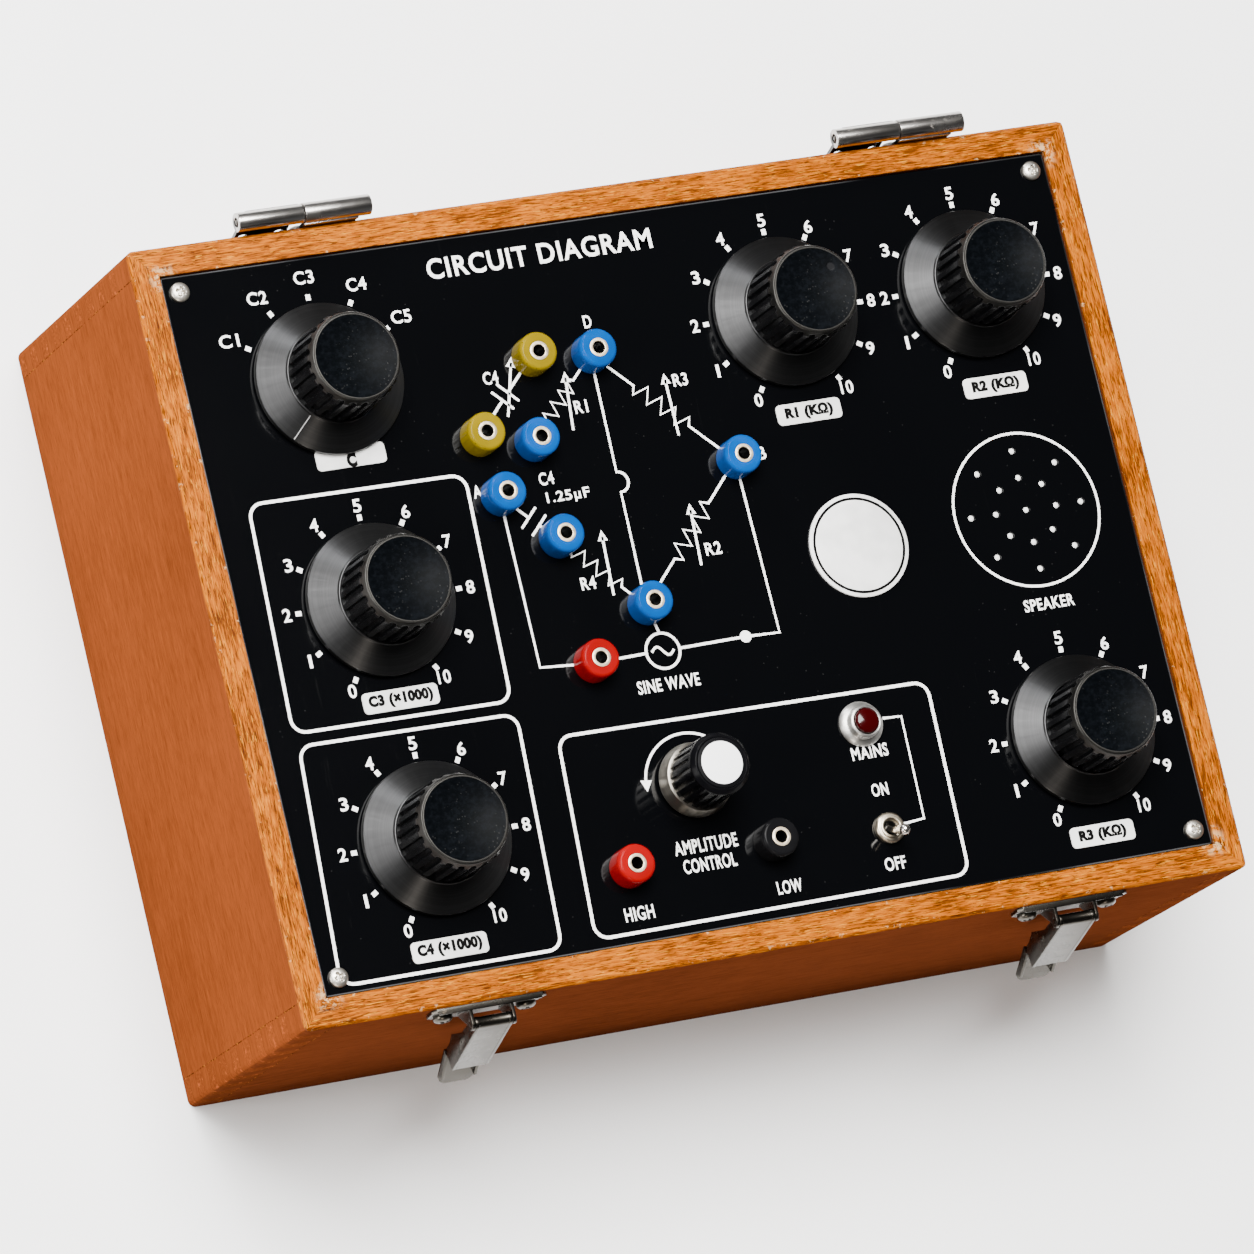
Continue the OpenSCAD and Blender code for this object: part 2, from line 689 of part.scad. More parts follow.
// Coloured insulator of a socket: a head on the panel and a stem through it, around the contact tube
module socket_body(at) {
    round_r = 1;
    on_panel(at) rotate_extrude() polygon([[contact_r, under_panel], [stem_r, under_panel], [stem_r, 0],
        [socket_r, 0], [socket_r - 0.15, socket_h - round_r], [socket_r - 0.45, socket_h - 0.35],
        [socket_r - round_r, socket_h], [contact_r, socket_h]]);
}

module yellow_sockets() {
    color("gold") for (at = YELLOW_AT) socket_body(at);
}

module blue_sockets() {
    color("dodgerblue") for (at = BLUE_AT) socket_body(at);
}

module red_sockets() {
    color("red") for (at = RED_AT) socket_body(at);
}

module black_socket() {
    color([0.1, 0.1, 0.1]) for (at = BLACK_AT) socket_body(at);
}

// Metal tubes inside the sockets, each with a plug bore and a solder tail
module socket_contacts() {
    floor_t = 1;
    color("khaki") for (at = SOCKET_AT) on_panel(at) translate([0, 0, socket_h + contact_proud - plug_depth])
        difference() {
            union() {
                translate([0, 0, -floor_t]) cylinder(r = contact_r, h = plug_depth + floor_t);
                translate([0, 0, -floor_t - tail_len]) cylinder(r = contact_r / 2, h = tail_len + floor_t);
            }
            cylinder(r = plug_r, h = plug_depth + 1);
        }
}

// Metal collar at the foot of the amplitude knob, and the spindle that carries the knob
module amplitude_collar() {
    top = collar_gap + collar_h;
    bore = knob_r - 2;
    on_panel(amplitude_at) {
        color("darkgray") rotate_extrude() polygon([[bore, collar_gap], [collar_r, collar_gap],
            [collar_r, collar_gap + 0.8], [knob_r + 0.9, top], [bore, top]]);
        color("silver") translate([0, 0, -panel_t - pot_h + 2])
            cylinder(r = pot_spindle_r, h = panel_t + pot_h + knob_top - 10);
    }
}

module amplitude_grip() {
    top = collar_gap + collar_h;
    boss = knob_r - 2.1;
    floor_z = knob_top - knob_cap_seat;
    color([0.08, 0.08, 0.09]) on_panel(amplitude_at) difference() {
        rotate_extrude() polygon([[0, collar_gap + 1.6], [boss, collar_gap + 1.6], [boss, top],
            [knob_r + 0.2, top], [knob_r - 0.2, knob_top - 1.4], [knob_r - 1.4, knob_top],
            [knob_cap_r, knob_top], [knob_cap_r, floor_z], [0, floor_z]]);
        flutes(knob_flutes, knob_r, 0.8, 1.3, top, knob_top - 2.4);
        translate([0, 0, -1]) cylinder(r = pot_spindle_r + running_gap, h = knob_top - 6);
    }
}

module amplitude_cap() {
    color("white") on_panel(amplitude_at) translate([0, 0, knob_top - knob_cap_seat])
        cylinder(r = knob_cap_r - 0.1, h = knob_cap_seat + 0.2);
}

module potentiometer() {
    color("silver") on_panel(amplitude_at) difference() {
        union() {
            translate([0, 0, -panel_t]) cylinder(r = pot_bush_r, h = panel_t + nut_h);
            translate([0, 0, -panel_t - pot_h]) cylinder(r = pot_r, h = pot_h);
            translate([-6, -pot_r - 6, -panel_t - pot_h + 1]) cube([12, 8, 1]);
        }
        translate([0, 0, -panel_t - pot_h + 1.5]) cylinder(r = pot_spindle_r + running_gap, h = 2 * pot_h);
    }
}

// Domed flange and neck of the lamp, with its body below the panel
module lamp_bezel() {
    neck = lens_r + 1.1;
    color("silver") on_panel(lamp_at) difference() {
        union() {
            rotate_extrude() polygon([[0, 0], [bezel_r, 0], [bezel_r, 0.7], [bezel_r - 0.5, 1.5],
                [bezel_r - 1.4, 2], [neck + 0.1, 2.2], [neck, 2.6], [neck, bezel_h - 0.4],
                [neck - 0.4, bezel_h], [0, bezel_h]]);
            translate([0, 0, -panel_t - 18]) cylinder(r = lamp_body_r, h = panel_t + 18.5);
        }
        translate([0, 0, bezel_h - 3]) cylinder(r = lens_r + 0.1, h = 4);
    }
}

module lamp_lens() {
    color("darkred") on_panel(lamp_at) translate([0, 0, bezel_h - 3]) rotate_extrude() union() {
        square([lens_r, 3]);
        intersection() {
            translate([0, 3 + lens_dome - dome_r()]) circle(dome_r());
            translate([0, 2.9]) square([lens_r, lens_dome + 1]);
        }
    }
}

// Radius of the sphere of which the lens dome is a part
function dome_r() = (lens_r * lens_r + lens_dome * lens_dome) / (2 * lens_dome);

// Bat-shaped lever on a ball that sits in the switch's bush
module toggle_lever() {
    tip_z = lever_len - lever_tip_r;
    ball_r = 1.9;
    color("silver") on_panel(toggle_at) translate([0, 0, -toggle_pivot]) rotate([lever_tilt, 0, 0])
        rotate_extrude() union() {
            polygon([[0, -4], [0.7, -4], [0.7, 0], [0.95, 1], [0.95, 4], [lever_tip_r, tip_z], [0, tip_z]]);
            intersection() {
                union() {
                    circle(ball_r);
                    translate([0, tip_z]) circle(lever_tip_r);
                }
                translate([0, -lever_len]) square([lever_len, 3 * lever_len]);
            }
        }
}

module toggle_switch() {
    nut_top = 2.1;
    color("burlywood") on_panel(toggle_at) difference() {
        union() {
            rotate_extrude() polygon([[0, 0], [toggle_nut_r, 0], [toggle_nut_r, nut_top - 0.7],
                [toggle_nut_r - 0.6, nut_top], [toggle_bush_r + 0.5, nut_top],
                [toggle_bush_r + 0.5, nut_top + 0.7], [0, nut_top + 0.7]]);
            translate([0, 0, -panel_t - 1]) cylinder(r = toggle_bush_r, h = panel_t + 2);
            translate([-4, -6.5, -panel_t - nut_h - 9]) cube([8, 13, 9]);
            translate([0, 0, -panel_t - nut_h - 1]) cylinder(r = toggle_bush_r, h = nut_h + 1);
            for (s = [-1, 0, 1]) translate([-1, s * 4.7 - 0.4, -panel_t - nut_h - 13]) cube([2, 0.8, 5]);
        }
        translate([0, 0, -6.5]) cylinder(r = 2, h = 6);
        translate([0, 0, -0.51]) cylinder(r1 = 2, r2 = 2.75, h = 3.4);
    }
}

// Speaker frame with flange, a ledge for the cone, sloped basket and magnet
module speaker_frame() {
    seat = speaker_depth * 0.6;
    color("dimgray") on_panel(speaker_at) translate([0, 0, under_panel - cloth_t]) rotate_extrude()
        polygon([[speaker_r - flange_w, 0], [speaker_r, 0], [speaker_r, -ledge_z - 0.5],
            [speaker_r - 2 * flange_w, -ledge_z - 1], [magnet_r, -seat], [magnet_r, -speaker_depth],
            [0, -speaker_depth], [0, -seat + 1], [magnet_r - 1, -seat + 1],
            [speaker_r - 2.4 * flange_w, -ledge_z], [speaker_r - flange_w, -ledge_z]]);
}

// Paper cone with its surround on the frame's ledge and a dust cap
module speaker_cone() {
    deep = speaker_depth * 0.5;
    cap = magnet_r * 0.45;
    paper = 0.5;
    color([0.2, 0.2, 0.2]) on_panel(speaker_at) translate([0, 0, under_panel - cloth_t]) rotate_extrude()
        polygon([[speaker_r - flange_w - 0.1, paper - ledge_z], [speaker_r - flange_w - 0.1, -ledge_z],
            [speaker_r - 2.6 * flange_w, -ledge_z], [cap, -deep], [0, -deep + 2.4], [0, -deep + 2.4 + paper],
            [cap, -deep + 2 * paper], [speaker_r - 2.5 * flange_w, paper - ledge_z]]);
}

// Cloth glued under the grille holes
module speaker_cloth() {
    color("white") on_panel(speaker_at) translate([0, 0, under_panel - cloth_t])
        cylinder(r = speaker_r, h = cloth_t);
}

// Oscillator board on four pillars with its main components
module circuit_board() {
    top = pillar_h + pcb_t;
    pillar_r = 3;
    pillar_in = 5;
    color("darkgreen") translate([pcb_x, pcb_y, base_t]) {
        for (sx = [-1, 1], sy = [-1, 1])
            translate([sx * (pcb_w / 2 - pillar_in), sy * (pcb_d / 2 - pillar_in), 0])
                cylinder(r = pillar_r, h = pillar_h);
        translate([0, 0, pillar_h + pcb_t / 2]) cube([pcb_w, pcb_d, pcb_t], center = true);
        for (i = [-1.5:1.5]) translate([i * can_step, pcb_d / 2 - can_in, top])
            cylinder(r = can_r, h = can_h);
        for (s = [-1, 1]) translate([s * chip_w * 0.9, chip_in - pcb_d / 2, top + chip_h / 2])
            cube([chip_w, chip_d, chip_h], center = true);
    }
}

// Mains transformer: core, winding and mounting feet
module transformer() {
    foot_d = core_d * coil_share;
    hole_r = 1.8;
    color("slategray") translate([inner_w / 2 - core_in, core_y, base_t]) {
        translate([0, 0, core_h / 2]) cube([core_w, core_d, core_h], center = true);
        translate([0, 0, core_h / 2])
            cube([core_w * coil_share, core_d + 2 * coil_out, core_h * coil_share], center = true);
        for (s = [-1, 1]) difference() {
            translate([s * (core_w + foot_len) / 2, 0, foot_t / 2])
                cube([foot_len, foot_d, foot_t], center = true);
            translate([s * (core_w + foot_len) / 2, 0, -foot_t]) cylinder(r = hole_r, h = 3 * foot_t);
        }
    }
}

// Knuckle tube along +X from the seam, with the pin bore
module knuckle(outer, inner, length) {
    rotate([0, 90, 0]) difference() {
        cylinder(r = outer, h = length);
        translate([0, 0, -1]) cylinder(r = inner, h = length + 2);
    }
}

// Leaf against the wall plane, from the pin to its end; down = -1 hangs, down = 1 stands
module leaf_plate(x0, x1, down, inner) {
    mid = (x0 + x1) / 2;
    difference() {
        translate([x0, -hinge_out, down < 0 ? -leaf_len : 0]) cube([x1 - x0, leaf_t, leaf_len]);
        for (t = [-1, 1]) translate([mid + t * leaf_screw_gap / 2, 0, down * leaf_screw_down])
            rotate([90, 0, 0]) cylinder(r = wood_screw_r + hole_gap, h = 20, center = true);
        translate([x0 - 1, 0, 0]) rotate([0, 90, 0]) cylinder(r = inner, h = x1 - x0 + 2);
    }
}

// Case halves of the two hinges
module hinge_leaves() {
    color("silver") for (s = [-1, 1]) translate([s * hinge_x, hinge_y, hinge_z]) {
        knuckle(knuckle_r, hinge_pin_r, knuckle_len);
        leaf_plate(0, leaf_end, -1, hinge_pin_r);
    }
}

// Pins fixed in the case knuckles, with a domed end that shows at the lid knuckle
module hinge_pins() {
    color("gray") for (s = [-1, 1]) translate([s * hinge_x, hinge_y, hinge_z]) rotate([0, 90, 0])
        rotate_extrude() polygon([[0, -knuckle_len - 0.2], [hinge_pin_r * 0.55, -knuckle_len + 0.05],
            [hinge_pin_r, -knuckle_len + 0.8], [hinge_pin_r, knuckle_len - 0.5], [0, knuckle_len - 0.5]]);
}

// Lid half of a hinge: it hangs from the pin with its end on the wall
module lid_leaf(s) {
    bore = hinge_pin_r + running_gap;
    color("silver") translate([s * hinge_x, hinge_y, hinge_z]) rotate([-180 - leaf_hang, 0, 0])
        union() {
            translate([-knuckle_len, 0, 0]) knuckle(lid_knuckle_r, bore, knuckle_len - seam_gap);
            leaf_plate(-leaf_end, -seam_gap, 1, bore);
        }
}

module left_lid_leaf() {
    lid_leaf(-1);
}

module right_lid_leaf() {
    lid_leaf(1);
}

// Height of the latch plate's screws
function latch_screw_z() = box_h - latch_top - latch_plate_h * 0.5;

// Places its children at a latch: x along the wall, y outward, z up from the rim
module at_latch(s) {
    translate([s * latch_x, latch_y, box_h]) rotate([0, 0, 180]) children();
}

// Side outline, out from the wall and up, of an ear of the base plate around the lever's pin
module ear_outline() {
    low = -latch_top - latch_plate_h;
    polygon([[0.5, -latch_top], [latch_pin_out, latch_pin_z + roll_r], [latch_pin_out, latch_pin_z - roll_r],
        [0.5, low + 1]]);
    translate([latch_pin_out, latch_pin_z]) circle(roll_r);
}

// Stands its flat children upright at x, as a sheet of thickness t
module side_sheet(x, t) {
    translate([x, 0, 0]) rotate([90, 0, 90]) linear_extrude(t) children();
}

// Base plate of a latch with wings, lip and two ears for the lever's pin
module latch_plate() {
    half = latch_w / 2;
    foot = ear_out + 2;
    lip_h = 1.1;
    difference() {
        union() {
            translate([0, 0, -latch_top]) rotate([-90, 0, 0]) linear_extrude(latch_plate_t)
                polygon([[-half + 1.5, 0], [half - 1.5, 0], [half, 1.5], [half - 1, latch_plate_h * 0.68],
                    [half - 4, latch_plate_h * 0.88], [foot, latch_plate_h], [-foot, latch_plate_h],
                    [-half + 4, latch_plate_h * 0.88], [-half + 1, latch_plate_h * 0.68], [-half, 1.5]]);
            translate([-half + 2, 0, -latch_top - lip_h]) cube([latch_w - 4, latch_plate_t + 0.7, lip_h]);
            side_sheet(ear_out - latch_sheet, latch_sheet) ear_outline();
            side_sheet(-ear_out, latch_sheet) ear_outline();
        }
        for (t = [-1, 1]) translate([t * latch_screw_x, 0, -latch_top - latch_plate_h * 0.5])
            rotate([90, 0, 0]) cylinder(r = wood_screw_r + hole_gap, h = 10, center = true);
        translate([-latch_w, latch_pin_out, latch_pin_z]) rotate([0, 90, 0])
            cylinder(r = latch_pin_r, h = 2 * latch_w);
    }
}

module latch_plates() {
    color("silver") for (s = [-1, 1]) at_latch(s) latch_plate();
}

module latch_pins() {
    color("gray") for (s = [-1, 1]) at_latch(s) translate([-ear_out, latch_pin_out, latch_pin_z])
        rotate([0, 90, 0]) cylinder(r = latch_pin_r, h = 2 * ear_out);
}

// Side outline of a lever's cheek, with the pin at the origin and the face at y = roll_r
module cheek_outline() {
    back = roll_r - latch_cheek;
    circle(roll_r);
    end = -latch_lever_len;
    polygon([[roll_r, 0], [roll_r, end], [back + 1.5, end], [back, end + 2], [back, end * 0.6],
        [back * 0.55, end * 0.42], [-roll_r, 0]]);
}

// Places its children in the frame of a leaned lever, with the pin at the origin
module on_lever() {
    translate([0, latch_pin_out, latch_pin_z]) rotate([latch_lean, 0, 0]) children();
}

// Rolled lever of a latch with its two cheeks, and the rivet that holds the hook
module latch_lever() {
    inside = cheek_out - latch_sheet / 2;
    face_r = roll_r - face_step;
    rivet_end = cheek_out + rivet_head;
    on_lever() difference() {
        union() {
            side_sheet(cheek_out - latch_sheet, latch_sheet) cheek_outline();
            side_sheet(-cheek_out, latch_sheet) cheek_outline();
            side_sheet(-inside, 2 * inside) union() {
                circle(face_r);
                translate([face_r - latch_sheet, face_step - latch_lever_len])
                    square([latch_sheet, latch_lever_len - face_step]);
            }
            translate([-rivet_end, roll_r - rivet_back, -rivet_down]) rotate([0, 90, 0])
                cylinder(r = rivet_r, h = 2 * rivet_end);
        }
        translate([-latch_w, 0, 0]) rotate([0, 90, 0])
            cylinder(r = latch_pin_r + running_gap, h = 2 * latch_w);
    }
}

module left_latch_lever() {
    color("lightgray") at_latch(-1) latch_lever();
}

module right_latch_lever() {
    color("lightgray") at_latch(1) latch_lever();
}

// Outline of the hook's tongue in its own plane, from the elbow at the top to its round end
module tongue_outline() {
    wide = cheek_out;
    neck = hook_half - neck_in;
    end_r = 3;
    translate([-neck, -hook_neck - 0.1]) square([2 * neck, hook_neck + 0.1]);
    translate([-wide, -hook_len + end_r]) square([2 * wide, hook_len - hook_neck - end_r]);
    translate([-wide + end_r, -hook_len]) square([2 * (wide - end_r), end_r + 0.1]);
    for (s = [-1, 1]) translate([s * (wide - end_r), -hook_len + end_r]) circle(end_r);
}

// Hook of a latch: two arms on the rivet, an elbow near the wall and a tongue that leans out
module latch_hook() {
    t = latch_sheet;
    elbow = [-3.9, -9.5];
    flange = 1.6;
    flange_end = 3.4;
    flange_in = 0.3;
    on_lever() translate([0, roll_r - rivet_back, -rivet_down]) rotate([-latch_lean, 0, 0]) difference() {
        union() {
            for (x = [hook_half - t, -hook_half]) side_sheet(x, t) union() {
                circle(2);
                polygon([[-1.9, 0.6], [1.9, -0.6], elbow + [1.6, -1.2], elbow]);
            }
            translate([0, elbow[0], elbow[1]]) rotate([90 + hook_lean, 0, 0]) {
                translate([0, 0, -t]) linear_extrude(t) tongue_outline();
                for (s = [-1, 1])
                    translate([s > 0 ? cheek_out - t : -cheek_out, flange_end - hook_len, -flange - t])
                        cube([t, hook_len - hook_neck - flange_end - flange_in, flange + t]);
            }
        }
        translate([-latch_w, 0, 0]) rotate([0, 90, 0]) cylinder(r = rivet_r + running_gap, h = 2 * latch_w);
    }
}

module left_latch_hook() {
    color("darkgray") at_latch(-1) latch_hook();
}

module right_latch_hook() {
    color("darkgray") at_latch(1) latch_hook();
}

module wood_screws() {
    color("silver") {
        for (s = [-1, 1], t = [-1, 1]) {
            translate([s * latch_x + t * latch_screw_x, latch_y - latch_plate_t, latch_screw_z()])
                rotate([90, 0, 0]) pan_screw(wood_head_r, wood_head_h, wood_screw_r, wood_screw_len);
            translate([s * hinge_x + (leaf_end + t * leaf_screw_gap) / 2, box_d / 2 + leaf_t,
                hinge_z - leaf_screw_down])
                rotate([-90, 0, 0]) pan_screw(wood_head_r, wood_head_h, wood_screw_r, wood_screw_len);
        }
    }
}

// One part of the dial named by its prefix
module dial_part(i, part) {
    if (part == "skirt") dial_skirt(DIAL_AT[i]);
    if (part == "grip") dial_grip(DIAL_AT[i]);
    if (part == "cap") dial_cap(DIAL_AT[i]);
}

front_wall();
back_wall();
left_wall();
right_wall();
base_board();
corner_blocks();
cord_grommet();
control_panel();
panel_screws();
badge_disc();
label_plates();
for (i = [0:len(DIALS) - 1], part = DIAL_PARTS)
    dial_part(i, part);
rotary_switches();
panel_nuts();
yellow_sockets();
blue_sockets();
red_sockets();
black_socket();
socket_contacts();
amplitude_collar();
amplitude_grip();
amplitude_cap();
potentiometer();
lamp_bezel();
lamp_lens();
toggle_lever();
toggle_switch();
speaker_cloth();
speaker_frame();
speaker_cone();
circuit_board();
transformer();
hinge_leaves();
hinge_pins();
left_lid_leaf();
right_lid_leaf();
latch_plates();
latch_pins();
left_latch_lever();
right_latch_lever();
left_latch_hook();
right_latch_hook();
wood_screws();
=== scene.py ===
"""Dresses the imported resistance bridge: finishes, printed panel, dials, sockets, hinges and latches.

Every size is in millimetres in the dataclasses, and becomes metres where a mesh is made. The frame is the
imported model's own: +X right along the panel, +Y from the latches to the hinges, +Z up.
"""

import json
import logging
import math
from collections.abc import Iterable, Sequence
from dataclasses import dataclass
from enum import Enum

import bmesh
import bpy
from mathutils import Matrix, Vector


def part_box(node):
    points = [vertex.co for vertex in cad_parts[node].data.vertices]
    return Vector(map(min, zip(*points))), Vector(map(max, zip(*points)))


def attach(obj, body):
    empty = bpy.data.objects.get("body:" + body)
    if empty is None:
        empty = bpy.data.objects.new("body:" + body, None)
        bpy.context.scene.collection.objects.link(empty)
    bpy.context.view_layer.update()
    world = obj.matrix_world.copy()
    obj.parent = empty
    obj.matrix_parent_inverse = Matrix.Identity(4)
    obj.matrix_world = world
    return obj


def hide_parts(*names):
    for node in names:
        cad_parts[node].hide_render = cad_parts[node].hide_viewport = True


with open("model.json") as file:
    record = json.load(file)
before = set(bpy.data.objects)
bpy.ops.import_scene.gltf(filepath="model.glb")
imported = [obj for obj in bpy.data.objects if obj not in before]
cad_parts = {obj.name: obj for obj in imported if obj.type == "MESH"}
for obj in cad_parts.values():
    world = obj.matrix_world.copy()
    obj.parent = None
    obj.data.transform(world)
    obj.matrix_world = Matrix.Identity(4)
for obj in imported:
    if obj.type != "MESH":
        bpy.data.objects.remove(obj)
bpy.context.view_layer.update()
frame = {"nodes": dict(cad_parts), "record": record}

LOG = logging.getLogger("resistance_bridge")
MM = 0.001
PANEL_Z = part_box("control_panel")[1].z / MM
RIM_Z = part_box("left_wall")[1].z / MM
HALF_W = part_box("front_wall")[1].x / MM
HALF_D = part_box("left_wall")[1].y / MM
NO_TURN = (0, 0, 0)
Point = tuple[float, float]
Colour = tuple[float, float, float]
Value = "float | Sock"


def shade(colour: Colour, share: float) -> Colour:
    """A colour times a number."""
    return tuple(c * share for c in colour)


class Axis(Enum):
    """The direction in which a board's grain runs."""

    X = 0
    Y = 1


class Layer(Enum):
    """Heights of the prints above the face that carries them, so that crossing prints don't fight."""

    LINES = 0.05
    MARKS = 0.06
    WORDS = 0.07


class Sock:
    """A node's output socket on which Python arithmetic adds Math nodes."""

    def __init__(self, graph: "Graph", socket: bpy.types.NodeSocket) -> None:
        """Keeps the graph and the socket."""
        self.graph = graph
        self.socket = socket

    def maths(self, operation: str, *others: "Value") -> "Sock":
        """Adds one Math node with the further operands, and gives its result."""
        return self.graph.node("ShaderNodeMath", {"operation": operation}, dict(enumerate((self, *others))))

    def __add__(self, other: "Value") -> "Sock":
        """Sum."""
        return self.maths("ADD", other)

    __radd__ = __add__

    def __mul__(self, other: "Value") -> "Sock":
        """Product."""
        return self.maths("MULTIPLY", other)

    __rmul__ = __mul__

    def __sub__(self, other: "Value") -> "Sock":
        """Difference."""
        return self.maths("SUBTRACT", other)

    def __rsub__(self, other: float) -> "Sock":
        """Difference from a number."""
        return self.graph.node("ShaderNodeMath", {"operation": "SUBTRACT"}, {0: other, 1: self})

    def __truediv__(self, other: "Value") -> "Sock":
        """Quotient."""
        return self.maths("DIVIDE", other)

    def __pow__(self, other: "Value") -> "Sock":
        """Power."""
        return self.maths("POWER", other)

    def absolute(self) -> "Sock":
        """Value without its sign."""
        return self.maths("ABSOLUTE")

    def step(self, low: float, high: float) -> "Sock":
        """Smooth step from 0 at low to 1 at high, or falling where low is above high."""
        kind = {"interpolation_type": "SMOOTHSTEP", "clamp": True}
        start, end = min(low, high), max(low, high)
        rising = self.graph.node("ShaderNodeMapRange", kind, {0: self, 1: start, 2: end, 3: 0.0, 4: 1.0})
        return rising if low < high else 1 - rising


class Graph:
    """A node tree in which nodes are added by type, settings and inputs."""

    def __init__(self, tree: bpy.types.NodeTree) -> None:
        """Keeps the tree."""
        self.tree = tree

    def node(self, kind: str, settings: dict | None = None, inputs: dict | None = None,
             out: int | str = 0) -> "Sock | None":
        """Adds a node.

        Args:
            kind: the node's Blender type.
            settings: its properties, set first.
            inputs: values or sockets by the inputs' names or indices.
            out: the name or index of the output that is returned.

        Returns:
            The chosen output, or nothing for a node without outputs.
        """
        made = self.tree.nodes.new(kind)
        for name, value in (settings or {}).items():
            setattr(made, name, value)
        for name, value in (inputs or {}).items():
            target = made.inputs[name]
            if isinstance(value, Sock):
                self.tree.links.new(value.socket, target)
            elif target.type == "RGBA" and len(value) == 3:
                target.default_value = (*value, 1.0)
            else:
                target.default_value = value
        return Sock(self, made.outputs[out]) if len(made.outputs) else None

    def place(self) -> Sock:
        """Object coordinates."""
        return self.node("ShaderNodeTexCoord", out="Object")

    def split(self, vector: Sock) -> tuple[Sock, Sock, Sock]:
        """X, Y and Z of a vector."""
        x = self.node("ShaderNodeSeparateXYZ", {}, {0: vector})
        outputs = x.socket.node.outputs
        return x, Sock(self, outputs[1]), Sock(self, outputs[2])

    def vector(self, x: "Value", y: "Value", z: "Value" = 0.0) -> Sock:
        """A vector of three values."""
        return self.node("ShaderNodeCombineXYZ", {}, {0: x, 1: y, 2: z})

    def moved(self, vector: Sock, centre: Sequence[float], scale: Sequence[float] = (1, 1, 1)) -> Sock:
        """Coordinates counted from a centre, in metres, and scaled."""
        shift = tuple(-c * s for c, s in zip(centre, scale))
        return self.node("ShaderNodeMapping", {}, {"Vector": vector, "Location": shift, "Scale": scale})

    def about(self, centre: Point) -> tuple[Sock, Sock, Sock]:
        """Coordinates counted from an upright axis, the distance from it, and the height."""
        local = self.moved(self.place(), (centre[0] * MM, centre[1] * MM, 0))
        x, y, z = self.split(local)
        return local, (x * x + y * y) ** 0.5, z

    def noise(self, vector: Sock, scale: float, detail: float = 3.0, rough: float = 0.6,
              distortion: float = 0.0) -> Sock:
        """Value of a noise texture, mostly between 0.25 and 0.75."""
        inputs = {"Vector": vector, "Scale": scale, "Detail": detail, "Roughness": rough,
                  "Distortion": distortion}
        return self.node("ShaderNodeTexNoise", {}, inputs)

    def cells(self, vector: Sock, scale: float) -> Sock:
        """Distance to the nearest of a scatter of points, in cells."""
        return self.node("ShaderNodeTexVoronoi", {}, {"Vector": vector, "Scale": scale})

    def specks(self, vector: Sock, scale: float, edge: Point, groups: float, detail: float, cover: Point) -> Sock:
        """Mask of small dots that lie in groups.

        Args:
            vector: coordinates.
            scale: dots for each metre.
            edge: distances, in cells, at which a dot ends and is whole.
            groups: scale of the noise that gathers them.
            detail: that noise's detail.
            cover: values of it at which the dots begin and are all there.

        Returns:
            The mask.
        """
        rough = 0.6 if detail > 2 else 0.5
        return self.cells(vector, scale).step(*edge) * self.noise(vector, groups, detail, rough).step(*cover)

    def ramp(self, value: Sock, *stops: tuple[float, Colour]) -> Sock:
        """Colour by value, through stops of a position and a colour."""
        made = self.node("ShaderNodeValToRGB", {}, {0: value})
        elements = made.socket.node.color_ramp.elements
        while len(elements) < len(stops):
            elements.new(0.5)
        for element, (position, colour) in zip(elements, stops):
            element.position = position
            element.color = (*colour, 1.0)
        return made

    def mix(self, share: "Value", first: "Sock | Colour", second: "Sock | Colour") -> Sock:
        """Mixed colour, all first where share is 0."""
        return self.node("ShaderNodeMix", {"data_type": "RGBA"}, {0: share, 6: first, 7: second}, out=2)

    def blotched(self, cloud: Sock, low: float, high: float, colour: Colour, share: float) -> Sock:
        """A colour that passes into a share of itself as a noise rises from low to high."""
        return self.mix(cloud.step(low, high), colour, shade(colour, share))

    def bump(self, height: Sock, strength: float, distance: float, rounded: float = 0.0) -> Sock:
        """Normal bent by a height.

        Args:
            height: the height in units of distance.
            strength: share of the effect.
            distance: the height of 1, in metres.
            rounded: radius of the softened edges in metres, or 0.

        Returns:
            The normal.
        """
        inputs = {"Strength": strength, "Distance": distance, "Height": height}
        if rounded:
            inputs["Normal"] = self.node("ShaderNodeBevel", {"samples": 4}, {"Radius": rounded})
        return self.node("ShaderNodeBump", {}, inputs)


@dataclass(frozen=True)
class Finish:
    """A finish that makes its material once, the first time it is asked for."""

    name: str

    def material(self) -> bpy.types.Material:
        """The finish's material."""
        found = bpy.data.materials.get(self.name)
        if found:
            return found
        made = bpy.data.materials.new(self.name)
        made.use_nodes = True
        made.node_tree.nodes.clear()
        graph = Graph(made.node_tree)
        shader = graph.node("ShaderNodeBsdfPrincipled", {}, self.surface(graph))
        graph.node("ShaderNodeOutputMaterial", {}, {"Surface": shader})
        return made

    def surface(self, graph: Graph) -> dict:
        """The shader's inputs by name."""
        raise NotImplementedError


